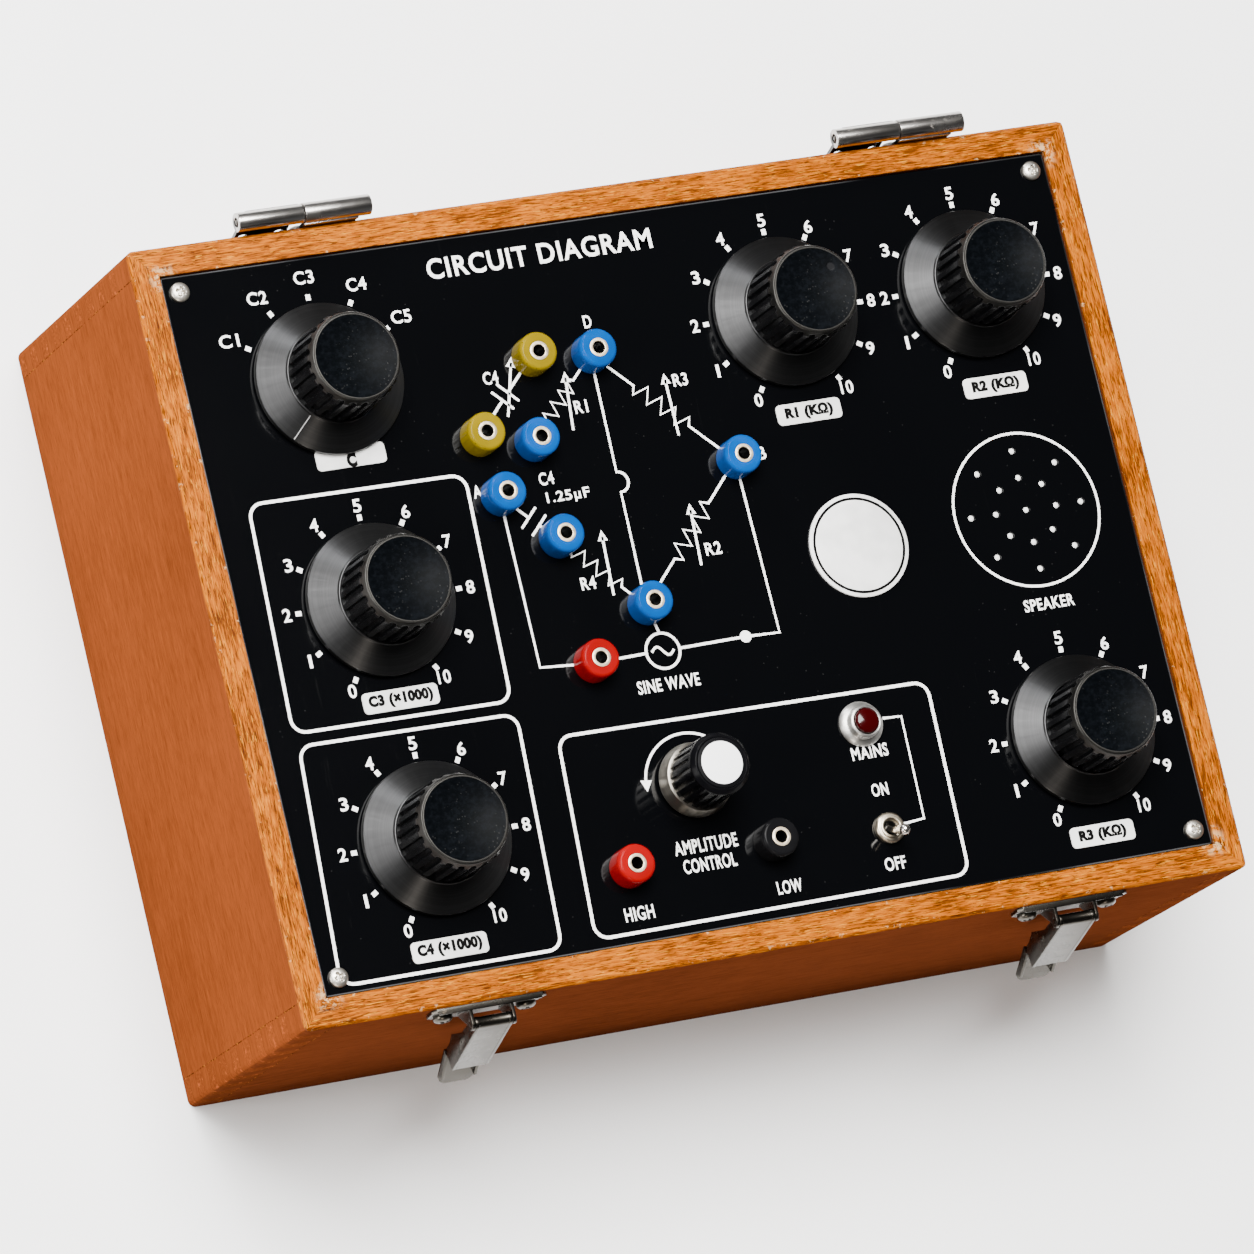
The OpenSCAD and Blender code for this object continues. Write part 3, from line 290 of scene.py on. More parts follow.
@dataclass(frozen=True)
class Wood(Finish):
    """Stained and varnished board: fine grain on its faces, coarse pores on the sawn rim, worn edges."""

    grain: Axis
    face: Colour
    seed: float = 0.0
    end_face: Colour = (0.1, 0.024, 0.007)
    rim: Colour = (0.22, 0.05, 0.0006)
    rim_bright: Colour = (0.34, 0.092, 0.0008)
    rim_pore: Colour = (0.03, 0.005, 0.0005)
    # Bright flecks along the rim's grain: partly the wood's own figure, partly painted glints.
    rim_fleck: Colour = (0.55, 0.21, 0.008)
    chipped: Colour = (0.32, 0.1, 0.015)
    bare: Colour = (0.6, 0.4, 0.2)
    finger_h: float = 104 / 18
    board_t: float = 9.0

    def surface(self, graph: Graph) -> dict:
        """Finish of the faces, the sawn rim, the end grain in the comb joints and the worn edges.

        Args:
            graph: the tree.

        Returns:
            The shader's inputs by name.
        """
        place = graph.place()
        along_x = self.grain is Axis.X
        x, y, z = graph.split(place)
        along, across = (x, y) if along_x else (y, x)
        half, half_across = self.halves()
        grain = self.fibres(graph, place, 60, 420)
        fine = self.fibres(graph, place, 170, 2000)
        pores = self.fibres(graph, place, 240, 2600)
        glint_flecks = self.fibres(graph, place, 200, 2300, 4.3)
        cloud = graph.noise(place, 9)
        face, end_face, rim = self.face, self.end_face, self.rim
        side = graph.ramp(grain * 0.3 + fine * 0.4 + cloud * 0.3, (0.36, shade(face, 0.66)), (0.5, face),
                          (0.66, shade(face, 1.3)))
        side = graph.mix(pores.step(0.56, 0.68) * 0.45, side, shade(face, 0.35))
        figure = grain * 0.25 + fine * 0.5 + graph.noise(place, 45) * 0.25
        gold = graph.ramp(figure, (0.42, shade(rim, 0.36)), (0.49, rim), (0.57, self.rim_bright))
        gold = graph.mix(pores.step(0.54, 0.62) * 0.8, gold, self.rim_pore)
        # Painted glints: bright flecks along the rim's grain, partly the wood's own figure.
        gold = graph.mix(glint_flecks.step(0.6, 0.65) * 0.6, gold, self.rim_fleck)
        lifted = z.step((RIM_Z - 1.2) * MM, (RIM_Z - 0.5) * MM)
        colour = graph.mix(lifted, side, gold)
        past_joint = along.absolute() - (half - self.board_t) * MM
        ends = past_joint.step(-0.0001, 0.0001)
        sawn = graph.ramp(graph.noise(place, 900, 4, 0.7) * 0.6 + cloud * 0.4, (0.4, shade(end_face, 0.72)),
                          (0.6, shade(end_face, 1.25)))
        end_grain = graph.mix(graph.noise(place, 420).step(0.58, 0.66) * 0.6, sawn, shade(end_face, 2.2))
        normal = graph.node("ShaderNodeTexCoord", out="Normal")
        facing = graph.split(normal)[0 if along_x else 1].absolute().step(0.6, 0.8)
        colour = graph.mix(facing * ends, colour, end_grain)
        outer = (across.absolute() - (half_across - 1.0) * MM).step(-0.0008, 0.0)
        finger = (z / (self.finger_h * MM)).maths("FRACT")
        seam = (finger - 0.5).absolute().step(0.465, 0.495) * ends * (1 - lifted)
        edge = past_joint.absolute().step(0.0003, 0.0001) * outer * (1 - lifted)
        broken = graph.noise(place, 420, 2, 0.6)
        colour = graph.mix(seam * 0.22, colour, shade(face, 0.22))
        colour = graph.mix(edge * broken.step(0.42, 0.5) * 0.85, colour, shade(face, 0.15))
        colour = graph.mix(edge * broken.step(0.54, 0.58) * 0.6, colour, self.chipped)
        worn = self.wear(graph, place, z, past_joint, across.absolute())
        height = grain * 0.4 + pores * -0.5 + lifted * fine * 0.9 + worn * 0.3
        return {"Base Color": graph.mix(worn, colour, self.bare), "Roughness": 0.42 + fine * 0.2 + worn * 0.25,
                "Specular IOR Level": 0.0, "Coat Weight": lifted * (1 - worn) * 0.1, "Coat Roughness": 0.25,
                "Normal": graph.bump(height, 0.55, 0.00035, rounded=0.0006)}

    def halves(self) -> Point:
        """Half the case's size along the grain and across it."""
        return (HALF_W, HALF_D) if self.grain is Axis.X else (HALF_D, HALF_W)

    def fibres(self, graph: Graph, place: Sock, long: float, short: float, shift: float = 0.0) -> Sock:
        """Noise that is drawn out along the grain.

        Args:
            graph: the tree.
            place: object coordinates.
            long: features for each metre along the grain.
            short: features for each metre across it.
            shift: moves the pattern.

        Returns:
            The noise's value.
        """
        scale = (long, short, short) if self.grain is Axis.X else (short, long, short)
        centre = (self.seed + shift, self.seed * 0.7, self.seed * 0.3 + shift)
        return graph.noise(graph.moved(place, centre, scale), 1.0, 3, 0.6, 0.25)

    def wear(self, graph: Graph, place: Sock, z: Sock, past_joint: Sock, distance: Sock) -> Sock:
        """Mask of the bare wood along the rim's edges and in its inner corners.

        Args:
            graph: the tree.
            place: object coordinates.
            z: height.
            past_joint: distance along the board past the joint's inner line.
            distance: distance across the board from the case's middle.

        Returns:
            The mask, 0.9 where the wood is barest.
        """
        half_across = self.halves()[1]
        from_inner = (distance - (half_across - self.board_t) * MM).absolute()
        from_outer = (distance - (half_across - 0.8) * MM).absolute()
        edges = from_inner.step(0.0013, 0.0002) + from_outer.step(0.0010, 0.0001) * 0.6
        corner = past_joint.absolute().step(0.007, 0.001) * from_inner.step(0.0045, 0.0005)
        chips = graph.noise(place, 340, 5, 0.7).step(0.6, 0.66)
        rubbed = graph.noise(place, 420, 5, 0.7).step(0.47, 0.56)
        marks = edges * chips * 0.6 + corner * rubbed * 0.6
        return (marks * z.step((RIM_Z - 2.2) * MM, (RIM_Z - 0.8) * MM)).maths("MINIMUM", 0.9)


@dataclass(frozen=True)
class Gloss(Finish):
    """Moulded or lacquered plastic with faint unevenness."""

    colour: Colour
    rough: float = 0.18
    ripple: float = 0.1
    rounded: float = 0.0003
    mirror: float = 0.4

    def surface(self, graph: Graph) -> dict:
        """The shader's inputs by name."""
        place = graph.place()
        cloud = graph.noise(place, 60)
        fine = graph.noise(place, 900, 2, 0.5)
        return {"Base Color": graph.mix(cloud.step(0.35, 0.65), shade(self.colour, 0.78), self.colour),
                "Roughness": self.rough * 0.75 + cloud * self.rough * 0.5, "Specular IOR Level": self.mirror,
                "Normal": graph.bump(cloud * 0.5 + fine * 0.5, self.ripple, 0.00004, self.rounded)}


@dataclass(frozen=True)
class PlatedMetal(Finish):
    """Plated or bare metal with drawing marks, tarnish and small spots; below a given height, painted shade."""

    colour: Colour
    rough: float
    tarnish: float
    stretch: tuple[float, float, float] = (1, 1, 8)
    rounded: float = 0.00025
    # Height in millimetres below which the colour is painted as shade, or 0.
    dull_below: float = 0.0

    def surface(self, graph: Graph) -> dict:
        """The shader's inputs by name."""
        place = graph.place()
        drawn = graph.noise(graph.moved(place, (0, 0, 0), self.stretch), 320)
        cloud = graph.noise(place, 85, 5, 0.65, 0.4)
        spots = graph.noise(place, 380)
        stain = cloud.step(0.5, 0.72) * self.tarnish
        colour = graph.mix(stain, self.colour, shade(self.colour, 0.38))
        colour = graph.mix(spots.step(0.64, 0.74) * self.tarnish, colour, (0.16, 0.12, 0.08))
        # Painted shade: below the given height the colour is darkened almost to black.
        if self.dull_below:
            unshaded_above = graph.split(place)[2].step((self.dull_below - 0.6) * MM, self.dull_below * MM)
            colour = graph.mix(unshaded_above, shade(self.colour, 0.06), colour)
        return {"Base Color": colour, "Roughness": self.rough + cloud * 0.12 + stain * 0.15,
                "Metallic": 1.0 - spots.step(0.66, 0.76) * 0.35,
                "Normal": graph.bump(drawn * 0.7 + spots * 0.3, 0.35, 0.00005, self.rounded)}


@dataclass(frozen=True)
class SpunMetal(Finish):
    """Metal turned on a lathe about an upright axis: fine rings around a centre."""

    centre: Point
    colour: Colour
    rough: float = 0.26
    ring_pitch: float = 0.45
    depth: float = 0.15

    def surface(self, graph: Graph) -> dict:
        """The shader's inputs by name."""
        local, radius, z = graph.about(self.centre)
        flat = graph.vector(radius, z * 0.6)
        rings = graph.noise(flat, 1 / (self.ring_pitch * MM), 2, 0.6)
        broad = graph.noise(flat, 180, 2, 0.5)
        smear = graph.noise(local, 70)
        colour = graph.mix(rings.step(0.35, 0.65), shade(self.colour, 0.86), self.colour)
        colour = graph.mix(smear.step(0.5, 0.75) * 0.3, colour, shade(self.colour, 1.25))
        return {"Base Color": colour, "Roughness": self.rough + broad * 0.08 + smear * 0.04, "Metallic": 1.0,
                "Anisotropic": 0.75, "Anisotropic Rotation": 0.25,
                "Normal": graph.bump(rings, self.depth, 0.00001)}


@dataclass(frozen=True)
class Print(Finish):
    """Screen-printed ink with slightly uneven cover."""

    colour: Colour

    def surface(self, graph: Graph) -> dict:
        """The shader's inputs by name."""
        cover = graph.noise(graph.place(), 700)
        colour = graph.mix(cover.step(0.3, 0.55), shade(self.colour, 0.86), self.colour)
        return {"Base Color": colour, "Roughness": 0.45 + cover * 0.15, "Specular IOR Level": 0.02,
                "Normal": graph.bump(cover, 0.2, 0.00002)}


@dataclass(frozen=True)
class Paper(Finish):
    """Smooth matt paper with the faintest unevenness."""

    colour: Colour

    def surface(self, graph: Graph) -> dict:
        """The shader's inputs by name."""
        cloud = graph.noise(graph.place(), 2, 2, 0.5)
        return {"Base Color": graph.mix(cloud, shade(self.colour, 0.985), self.colour), "Roughness": 0.85,
                "Specular IOR Level": 0.1}


@dataclass(frozen=True)
class GlossSheet(Finish):
    """Black sheet with a mirror gloss, hairline scratches, dust and a painted highlight along its edge."""

    half_x: float
    half_y: float

    def surface(self, graph: Graph) -> dict:
        """The shader's inputs by name."""
        place = graph.place()
        cloud = graph.noise(place, 14)
        hairs = graph.noise(graph.moved(place, (0, 0, 0), (900, 30, 1)), 1.0, 3, 0.7)
        specks = graph.specks(place, 330, (0.09, 0.05), 30, 3, (0.5, 0.62))
        colour = graph.mix(specks * 0.1, (0.001, 0.0011, 0.0014), (0.08, 0.08, 0.08))
        x, y, _ = graph.split(place)
        from_edge = (x.absolute() - self.half_x * MM).maths("MAXIMUM", y.absolute() - self.half_y * MM)
        # Painted highlight: a paler band along the sheet's edge.
        colour = graph.mix(from_edge.step(-0.0005, -0.0002) * cloud.step(0.3, 0.6), colour, (0.05, 0.05, 0.052))
        rough = 0.05 + cloud * 0.05 + hairs.step(0.66, 0.72) * 0.06
        return {"Base Color": colour, "Roughness": rough, "Specular IOR Level": 0.2,
                "Normal": graph.bump(cloud, 0.05, 0.0003, 0.0003)}


@dataclass(frozen=True)
class Cloth(Finish):
    """Woven cloth: two crossing threads."""

    colour: Colour
    pitch: float = 0.6

    def surface(self, graph: Graph) -> dict:
        """The shader's inputs by name."""
        x, y, _ = graph.split(graph.place())
        turns = 2 * math.pi / (self.pitch * MM)
        weave = (x * turns).maths("SINE") * (y * turns).maths("SINE") * 0.5 + 0.5
        return {"Base Color": graph.mix(weave, shade(self.colour, 0.7), self.colour),
                "Roughness": 0.85 + weave * 0.1, "Normal": graph.bump(weave, 0.6, 0.00015)}


NICKEL = PlatedMetal("worn_nickel", (0.052, 0.047, 0.04), 0.2, 0.3, (1, 1, 1))
# Below just above the rim this metal is painted near-black: painted shade on the leaves under the barrels.
BARREL = PlatedMetal("drawn_barrel", (0.42, 0.4, 0.38), 0.17, 0.3, (0.05, 6, 6), dull_below=RIM_Z + 1.6)
SCREW = PlatedMetal("plated_screw", (0.5, 0.47, 0.42), 0.34, 0.0, (1, 1, 1), 0.0)
# The wood screws are painted dark: painted shade under the hinge barrels and on the front board.
SHADED_WOOD_SCREW = PlatedMetal("wood_screw", (0.07, 0.063, 0.053), 0.24, 0.0, (1, 1, 1), 0.0)
INK_WHITE = Print("white_ink", (0.93, 0.93, 0.92))
INK_GREY = Print("grey_ink", (0.3, 0.3, 0.3))
INK_BLACK = Print("black_ink", (0.002, 0.002, 0.002))
PLATE_WHITE = Gloss("label_white", (0.72, 0.72, 0.71), 0.4, ripple=0.05, mirror=0.05)
GRIP_BLACK = Gloss("grip_black", (0.002, 0.002, 0.0025), 0.22, ripple=0.05, mirror=0.035)


def link(obj: bpy.types.Object) -> bpy.types.Object:
    """Puts an object in the scene."""
    bpy.context.scene.collection.objects.link(obj)
    return obj


def body_of(node: str) -> str:
    """The body that a CAD node belongs to."""
    return next(b for b, nodes in frame["record"]["behaviour"]["bodies"].items() if node in nodes)


def slot_of(node: str) -> str:
    """The material slot of a CAD node in the record."""
    return next(s["material_slot"] for s in frame["record"]["subparts"] if s["node"] == node)


def centre_of(node: str) -> Point:
    """Middle of a CAD node's box across the panel, in millimetres."""
    low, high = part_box(node)
    return (low.x + high.x) / 2 / MM, (low.y + high.y) / 2 / MM


def sharpen(mesh: bmesh.types.BMesh, degrees: float) -> None:
    """Shades a mesh smooth, apart from its edges that turn by more than an angle."""
    limit = math.radians(degrees)
    for face in mesh.faces:
        face.smooth = True
    for edge in mesh.edges:
        edge.smooth = not (len(edge.link_faces) == 2 and edge.calc_face_angle(0.0) > limit)


def piece_from(mesh: bmesh.types.BMesh, name: str, finish: Finish, smooth: float = 35.0) -> bpy.types.Object:
    """Turns a working mesh into an object in the scene.

    Args:
        mesh: the mesh, in metres; it is used up.
        name: the piece's name.
        finish: its finish.
        smooth: edges that turn by more degrees than this stay sharp.

    Returns:
        The object, at the origin.
    """
    sharpen(mesh, smooth)
    data = bpy.data.meshes.new(name)
    mesh.to_mesh(data)
    mesh.free()
    data.materials.append(finish.material())
    return link(bpy.data.objects.new(name, data))


def settle(piece: bpy.types.Object, body: str, slot: str, *stands_for: str) -> bpy.types.Object:
    """Rides a piece on its body and hides the CAD nodes that it stands for."""
    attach(piece, body)
    if stands_for:
        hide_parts(*stands_for)
    LOG.info("piece %s on %s, %d faces", piece.name, body, len(piece.data.polygons))
    return piece


def dress(node: str, finish: Finish) -> None:
    """Gives a CAD node its finish."""
    slots = frame["nodes"][node].data.materials
    slots.clear()
    slots.append(finish.material())
    LOG.info("node %s is %s", node, finish.name)


def soften(node: str, finish: Finish, radius: float = 0.25, segments: int = 2,
           angle: float = 32.0) -> bpy.types.Object:
    """Copies a CAD node with its hard edges rounded, and lets the copy stand for it.

    Args:
        node: the CAD node.
        finish: the copy's finish.
        radius: width of the rounding in millimetres.
        segments: faces across the rounding.
        angle: edges that turn by more degrees than this are rounded.

    Returns:
        The copy.
    """
    mesh = bmesh.new()
    mesh.from_mesh(frame["nodes"][node].data)
    bmesh.ops.remove_doubles(mesh, verts=mesh.verts, dist=2e-6)
    bmesh.ops.dissolve_limit(mesh, angle_limit=math.radians(0.6), verts=mesh.verts, edges=mesh.edges)
    hard = [e for e in mesh.edges if len(e.link_faces) == 2 and e.calc_face_angle(0.0) > math.radians(angle)]
    bmesh.ops.bevel(mesh, geom=hard, offset=radius * MM, segments=segments, profile=0.65, affect="EDGES",
                    clamp_overlap=True)
    piece = piece_from(mesh, f"{node}_finished", finish, 38.0)
    return settle(piece, body_of(node), slot_of(node), node)


def add_prism(mesh: bmesh.types.BMesh, top: Sequence[Sequence[float]], depth: float) -> None:
    """Adds an upright closed prism.

    Args:
        mesh: what it is added to.
        top: the corners of its top in order, in millimetres.
        depth: its height, in millimetres.
    """
    high = [mesh.verts.new(Vector(corner) * MM) for corner in top]
    low = [mesh.verts.new((Vector(corner) - Vector((0, 0, depth))) * MM) for corner in top]
    mesh.faces.new(high)
    mesh.faces.new(list(reversed(low)))
    for i, corner in enumerate(low):
        j = (i + 1) % len(low)
        mesh.faces.new((corner, low[j], high[j], high[i]))
    bmesh.ops.recalc_face_normals(mesh, faces=mesh.faces)


def revolve(profile: Sequence[Point], centre: Sequence[float], steps: int = 96) -> bmesh.types.BMesh:
    """Turns a profile about an upright axis.

    Args:
        profile: radius and height points from the lower axis end to the upper one, in millimetres.
        centre: the axis and the height of 0, in millimetres.
        steps: faces around.

    Returns:
        The closed mesh.
    """
    mesh = bmesh.new()
    rings = [add_ring(mesh, [radius] * (steps if radius else 1), centre, height) for radius, height in profile]
    skin(mesh, rings)
    return mesh


def add_ring(mesh: bmesh.types.BMesh, reaches: Sequence[float], centre: Sequence[float],
             height: float) -> list[bmesh.types.BMVert]:
    """Adds a ring of vertices about an upright axis, in millimetres, one for each distance from it."""
    turns = (2 * math.pi * i / len(reaches) for i in range(len(reaches)))
    return [mesh.verts.new(Vector((centre[0] + reach * math.cos(t), centre[1] + reach * math.sin(t),
                                   centre[2] + height)) * MM) for reach, t in zip(reaches, turns)]


def skin(mesh: bmesh.types.BMesh, rings: Sequence[Sequence[bmesh.types.BMVert]]) -> None:
    """Joins each ring of vertices to the next; a ring of one vertex closes an end."""
    steps = max(len(ring) for ring in rings)
    for low, high in zip(rings, rings[1:]):
        for i in range(steps):
            j = (i + 1) % steps
            corners = (low[i % len(low)], low[j % len(low)], high[j % len(high)], high[i % len(high)])
            mesh.faces.new(dict.fromkeys(corners))
    bmesh.ops.recalc_face_normals(mesh, faces=mesh.faces)


class Shaper:
    """A Geometry Nodes tree with named inputs, run once on a mesh."""

    def __init__(self, name: str, **inputs: str) -> None:
        """Makes the tree's interface: a mesh in, a mesh out, a material, and inputs' names by socket type."""
        self.tree = bpy.data.node_groups.new(name, "GeometryNodeTree")
        self.tree.interface.new_socket("Geometry", in_out="OUTPUT", socket_type="NodeSocketGeometry")
        for kind, labels in {"Geometry": "Geometry", "Material": "Material", **inputs}.items():
            for label in labels.split():
                self.tree.interface.new_socket(label, in_out="INPUT", socket_type=f"NodeSocket{kind}")
        self.graph = Graph(self.tree)
        self.entry = self.tree.nodes.new("NodeGroupInput")

    def given(self, label: str) -> Sock:
        """One of the tree's inputs."""
        return Sock(self.graph, self.entry.outputs[label])

    def end(self, geometry: Sock) -> None:
        """Realizes the instances, sets the material and ends the tree."""
        solid = self.graph.node("GeometryNodeRealizeInstances", {}, {0: geometry})
        painted = self.graph.node("GeometryNodeSetMaterial", {}, {0: solid, "Material": self.given("Material")})
        result = self.tree.nodes.new("NodeGroupOutput")
        self.tree.links.new(painted.socket, result.inputs[0])

    def run(self, name: str, start: bpy.types.Mesh, values: dict, smooth: float) -> bpy.types.Object:
        """Runs the tree on a mesh.

        Args:
            name: the new piece's name.
            start: the mesh that goes in.
            values: the inputs' values by name.
            smooth: edges that turn by more degrees than this stay sharp.

        Returns:
            A plain mesh object.
        """
        carrier = link(bpy.data.objects.new(name + "_carrier", start))
        modifier = carrier.modifiers.new("shape", "NODES")
        modifier.node_group = self.tree
        sockets = {s.name: s.identifier for s in self.tree.interface.items_tree if s.in_out == "INPUT"}
        for label, value in values.items():
            modifier[sockets[label]] = value
        graph = bpy.context.evaluated_depsgraph_get()
        data = bpy.data.meshes.new_from_object(carrier.evaluated_get(graph), depsgraph=graph)
        bpy.data.objects.remove(carrier)
        mesh = bmesh.new()
        mesh.from_mesh(data)
        sharpen(mesh, smooth)
        mesh.to_mesh(data)
        mesh.free()
        data.name = name
        return link(bpy.data.objects.new(name, data))


def stroke_shaper() -> Shaper:
    """A tree that turns a mesh of edges into flat printed lines."""
    shaper = Shaper("printed_lines", Float="Width Thickness Corner")
    graph = shaper.graph
    curve = graph.node("GeometryNodeMeshToCurve", {}, {0: shaper.given("Geometry")})
    fillet = graph.node("GeometryNodeFilletCurve", {"mode": "POLY"},
                        {"Curve": curve, "Count": 6, "Radius": shaper.given("Corner"), "Limit Radius": True})
    level = graph.node("GeometryNodeSetCurveNormal", {"mode": "Z_UP"}, {0: fillet})
    profile = graph.node("GeometryNodeCurvePrimitiveQuadrilateral", {},
                         {"Width": shaper.given("Width"), "Height": shaper.given("Thickness")})
    solid = graph.node("GeometryNodeCurveToMesh", {},
                       {"Curve": level, "Profile Curve": profile, "Fill Caps": True})
    shaper.end(solid)
    return shaper


def scale_shaper() -> Shaper:
    """A tree that prints the marks of a dial's scale around its centre."""
    shaper = Shaper("scale_marks", Vector="Centre", Int="Count", Float="Radius First Step Length Width Thickness")
    graph = shaper.graph
    given = shaper.given
    points = graph.node("GeometryNodeMeshLine", {}, {"Count": given("Count")})
    angle = given("First") - given("Step") * graph.node("GeometryNodeInputIndex")
    spot = graph.vector(angle.maths("COSINE") * given("Radius"), angle.maths("SINE") * given("Radius"))
    spot = graph.node("ShaderNodeVectorMath", {"operation": "ADD"}, {0: spot, 1: given("Centre")})
    placed = graph.node("GeometryNodeSetPosition", {}, {"Geometry": points, "Position": spot})
    size = graph.vector(given("Length"), given("Width"), given("Thickness"))
    mark = graph.node("GeometryNodeMeshCube", {}, {"Size": size})
    turn = graph.vector(0.0, 0.0, angle)
    shaper.end(graph.node("GeometryNodeInstanceOnPoints", {}, {"Points": placed, "Instance": mark, "Rotation": turn}))
    return shaper


def copies_shaper() -> Shaper:
    """A tree that puts a copy of an object at each vertex of a mesh, turned by the vertex's own angles."""
    shaper = Shaper("copies_at_points", Object="Part")
    graph = shaper.graph
    part = graph.node("GeometryNodeObjectInfo", {}, {"Object": shaper.given("Part")}, out="Geometry")
    turn = graph.node("GeometryNodeInputNamedAttribute", {"data_type": "FLOAT_VECTOR"}, {"Name": "turn"})
    copies = graph.node("GeometryNodeInstanceOnPoints", {},
                        {"Points": shaper.given("Geometry"), "Instance": part, "Rotation": turn})
    shaper.end(copies)
    return shaper


def points_mesh(name: str, places: Sequence[Sequence[float]], turns: Sequence[Sequence[float]]) -> bpy.types.Mesh:
    """A mesh of loose vertices that carry Euler angles.

    Args:
        name: the mesh's name.
        places: the vertices, in millimetres.
        turns: Euler angles in degrees, one set for each vertex.

    Returns:
        The mesh.
    """
    data = bpy.data.meshes.new(name)
    data.from_pydata([tuple(c * MM for c in p) for p in places], [], [])
    held = data.attributes.new("turn", "FLOAT_VECTOR", "POINT")
    held.data.foreach_set("vector", [math.radians(a) for t in turns for a in t])
    return data


def copy_at(copies: Shaper, name: str, pattern: bpy.types.Object, finish: Finish, places: Sequence,
            turns: Sequence, smooth: float) -> bpy.types.Object:
    """Puts copies of a pattern at places, turned by Euler angles, as one piece of one finish."""
    values = {"Part": pattern, "Material": finish.material()}
    return copies.run(name, points_mesh(name, places, turns), values, smooth)


@dataclass
class PhillipsScrew:
    """A pan head with a cross recess, drawn with its seat at the origin and its head along +Z."""

    head_r: float = 3.1
    head_h: float = 1.9
    shank_r: float = 1.4
    shank_len: float = 3.0
    slot_w: float = 0.95
    slot_reach: float = 1.75
    slot_depth: float = 1.15

    def mesh(self) -> bmesh.types.BMesh:
        """The screw, with the recess pressed into its head."""
        crown = [(self.head_r * math.cos(a), self.head_h * (0.35 + 0.65 * math.sin(a)))
                 for a in (math.radians(9 * i) for i in range(10))]
        profile = [(0, -self.shank_len), (self.shank_r, -self.shank_len), (self.shank_r, 0.0),
                   (self.head_r * 0.97, 0.0), (self.head_r, self.head_h * 0.12), *crown]
        fine = [(r, self.head_h * (0.35 + 0.65 * math.sqrt(max(0.0, 1 - (r / self.head_r) ** 2))))
                for r in (self.slot_reach * 1.15 * (1 - i / 14) for i in range(14))]
        outer = [p for p in profile if not (p[1] > self.head_h * 0.4 and p[0] < self.slot_reach * 1.2)]
        mesh = revolve([*outer, *fine, (0.0, self.head_h)], (0, 0, 0), 72)
        for vert in mesh.verts:
            x, y, z = vert.co / MM
            if z > self.head_h * 0.5:
                vert.co.z -= self.sunk(x, y) * MM
        return mesh

    def sunk(self, x: float, y: float) -> float:
        """Depth of the recess at a point of the head."""
        arm = min(abs(x), abs(y))
        reach = max(abs(x), abs(y))
        side = 1 - smooth(arm, self.slot_w / 2 - 0.16, self.slot_w / 2 + 0.16)
        end = 1 - smooth(reach, self.slot_reach * 0.5, self.slot_reach)
        return self.slot_depth * side * end


def smooth(value: float, low: float, high: float) -> float:
    """Smooth step of a number."""
    t = min(1.0, max(0.0, (value - low) / (high - low)))
    return t * t * (3 - 2 * t)


class ScrewSet:
    """Screws of one kind, made by the copies tree."""

    def __init__(self, finish: Finish, screw: PhillipsScrew, copies: Shaper) -> None:
        """Keeps the screw's finish, its pattern object and the tree."""
        self.copies = copies
        self.finish = finish
        self.pattern = piece_from(screw.mesh(), f"{finish.name}_pattern", finish, 40.0)

    def place(self, name: str, node: str, places: list, turns: list) -> bpy.types.Object:
        """Puts screws at places and lets them stand for a CAD node."""
        made = copy_at(self.copies, name, self.pattern, self.finish, places, turns, 40.0)
        return settle(made, body_of(node), slot_of(node), node)

    def clear(self) -> None:
        """Removes the pattern."""
        bpy.data.objects.remove(self.pattern)


@dataclass(frozen=True)
class Word:
    """A printed word: its text, the middle of its box, its height and its width, in millimetres."""

    text: str
    x: float
    y: float
    height: float
    width: float
    weight: float = 0.02


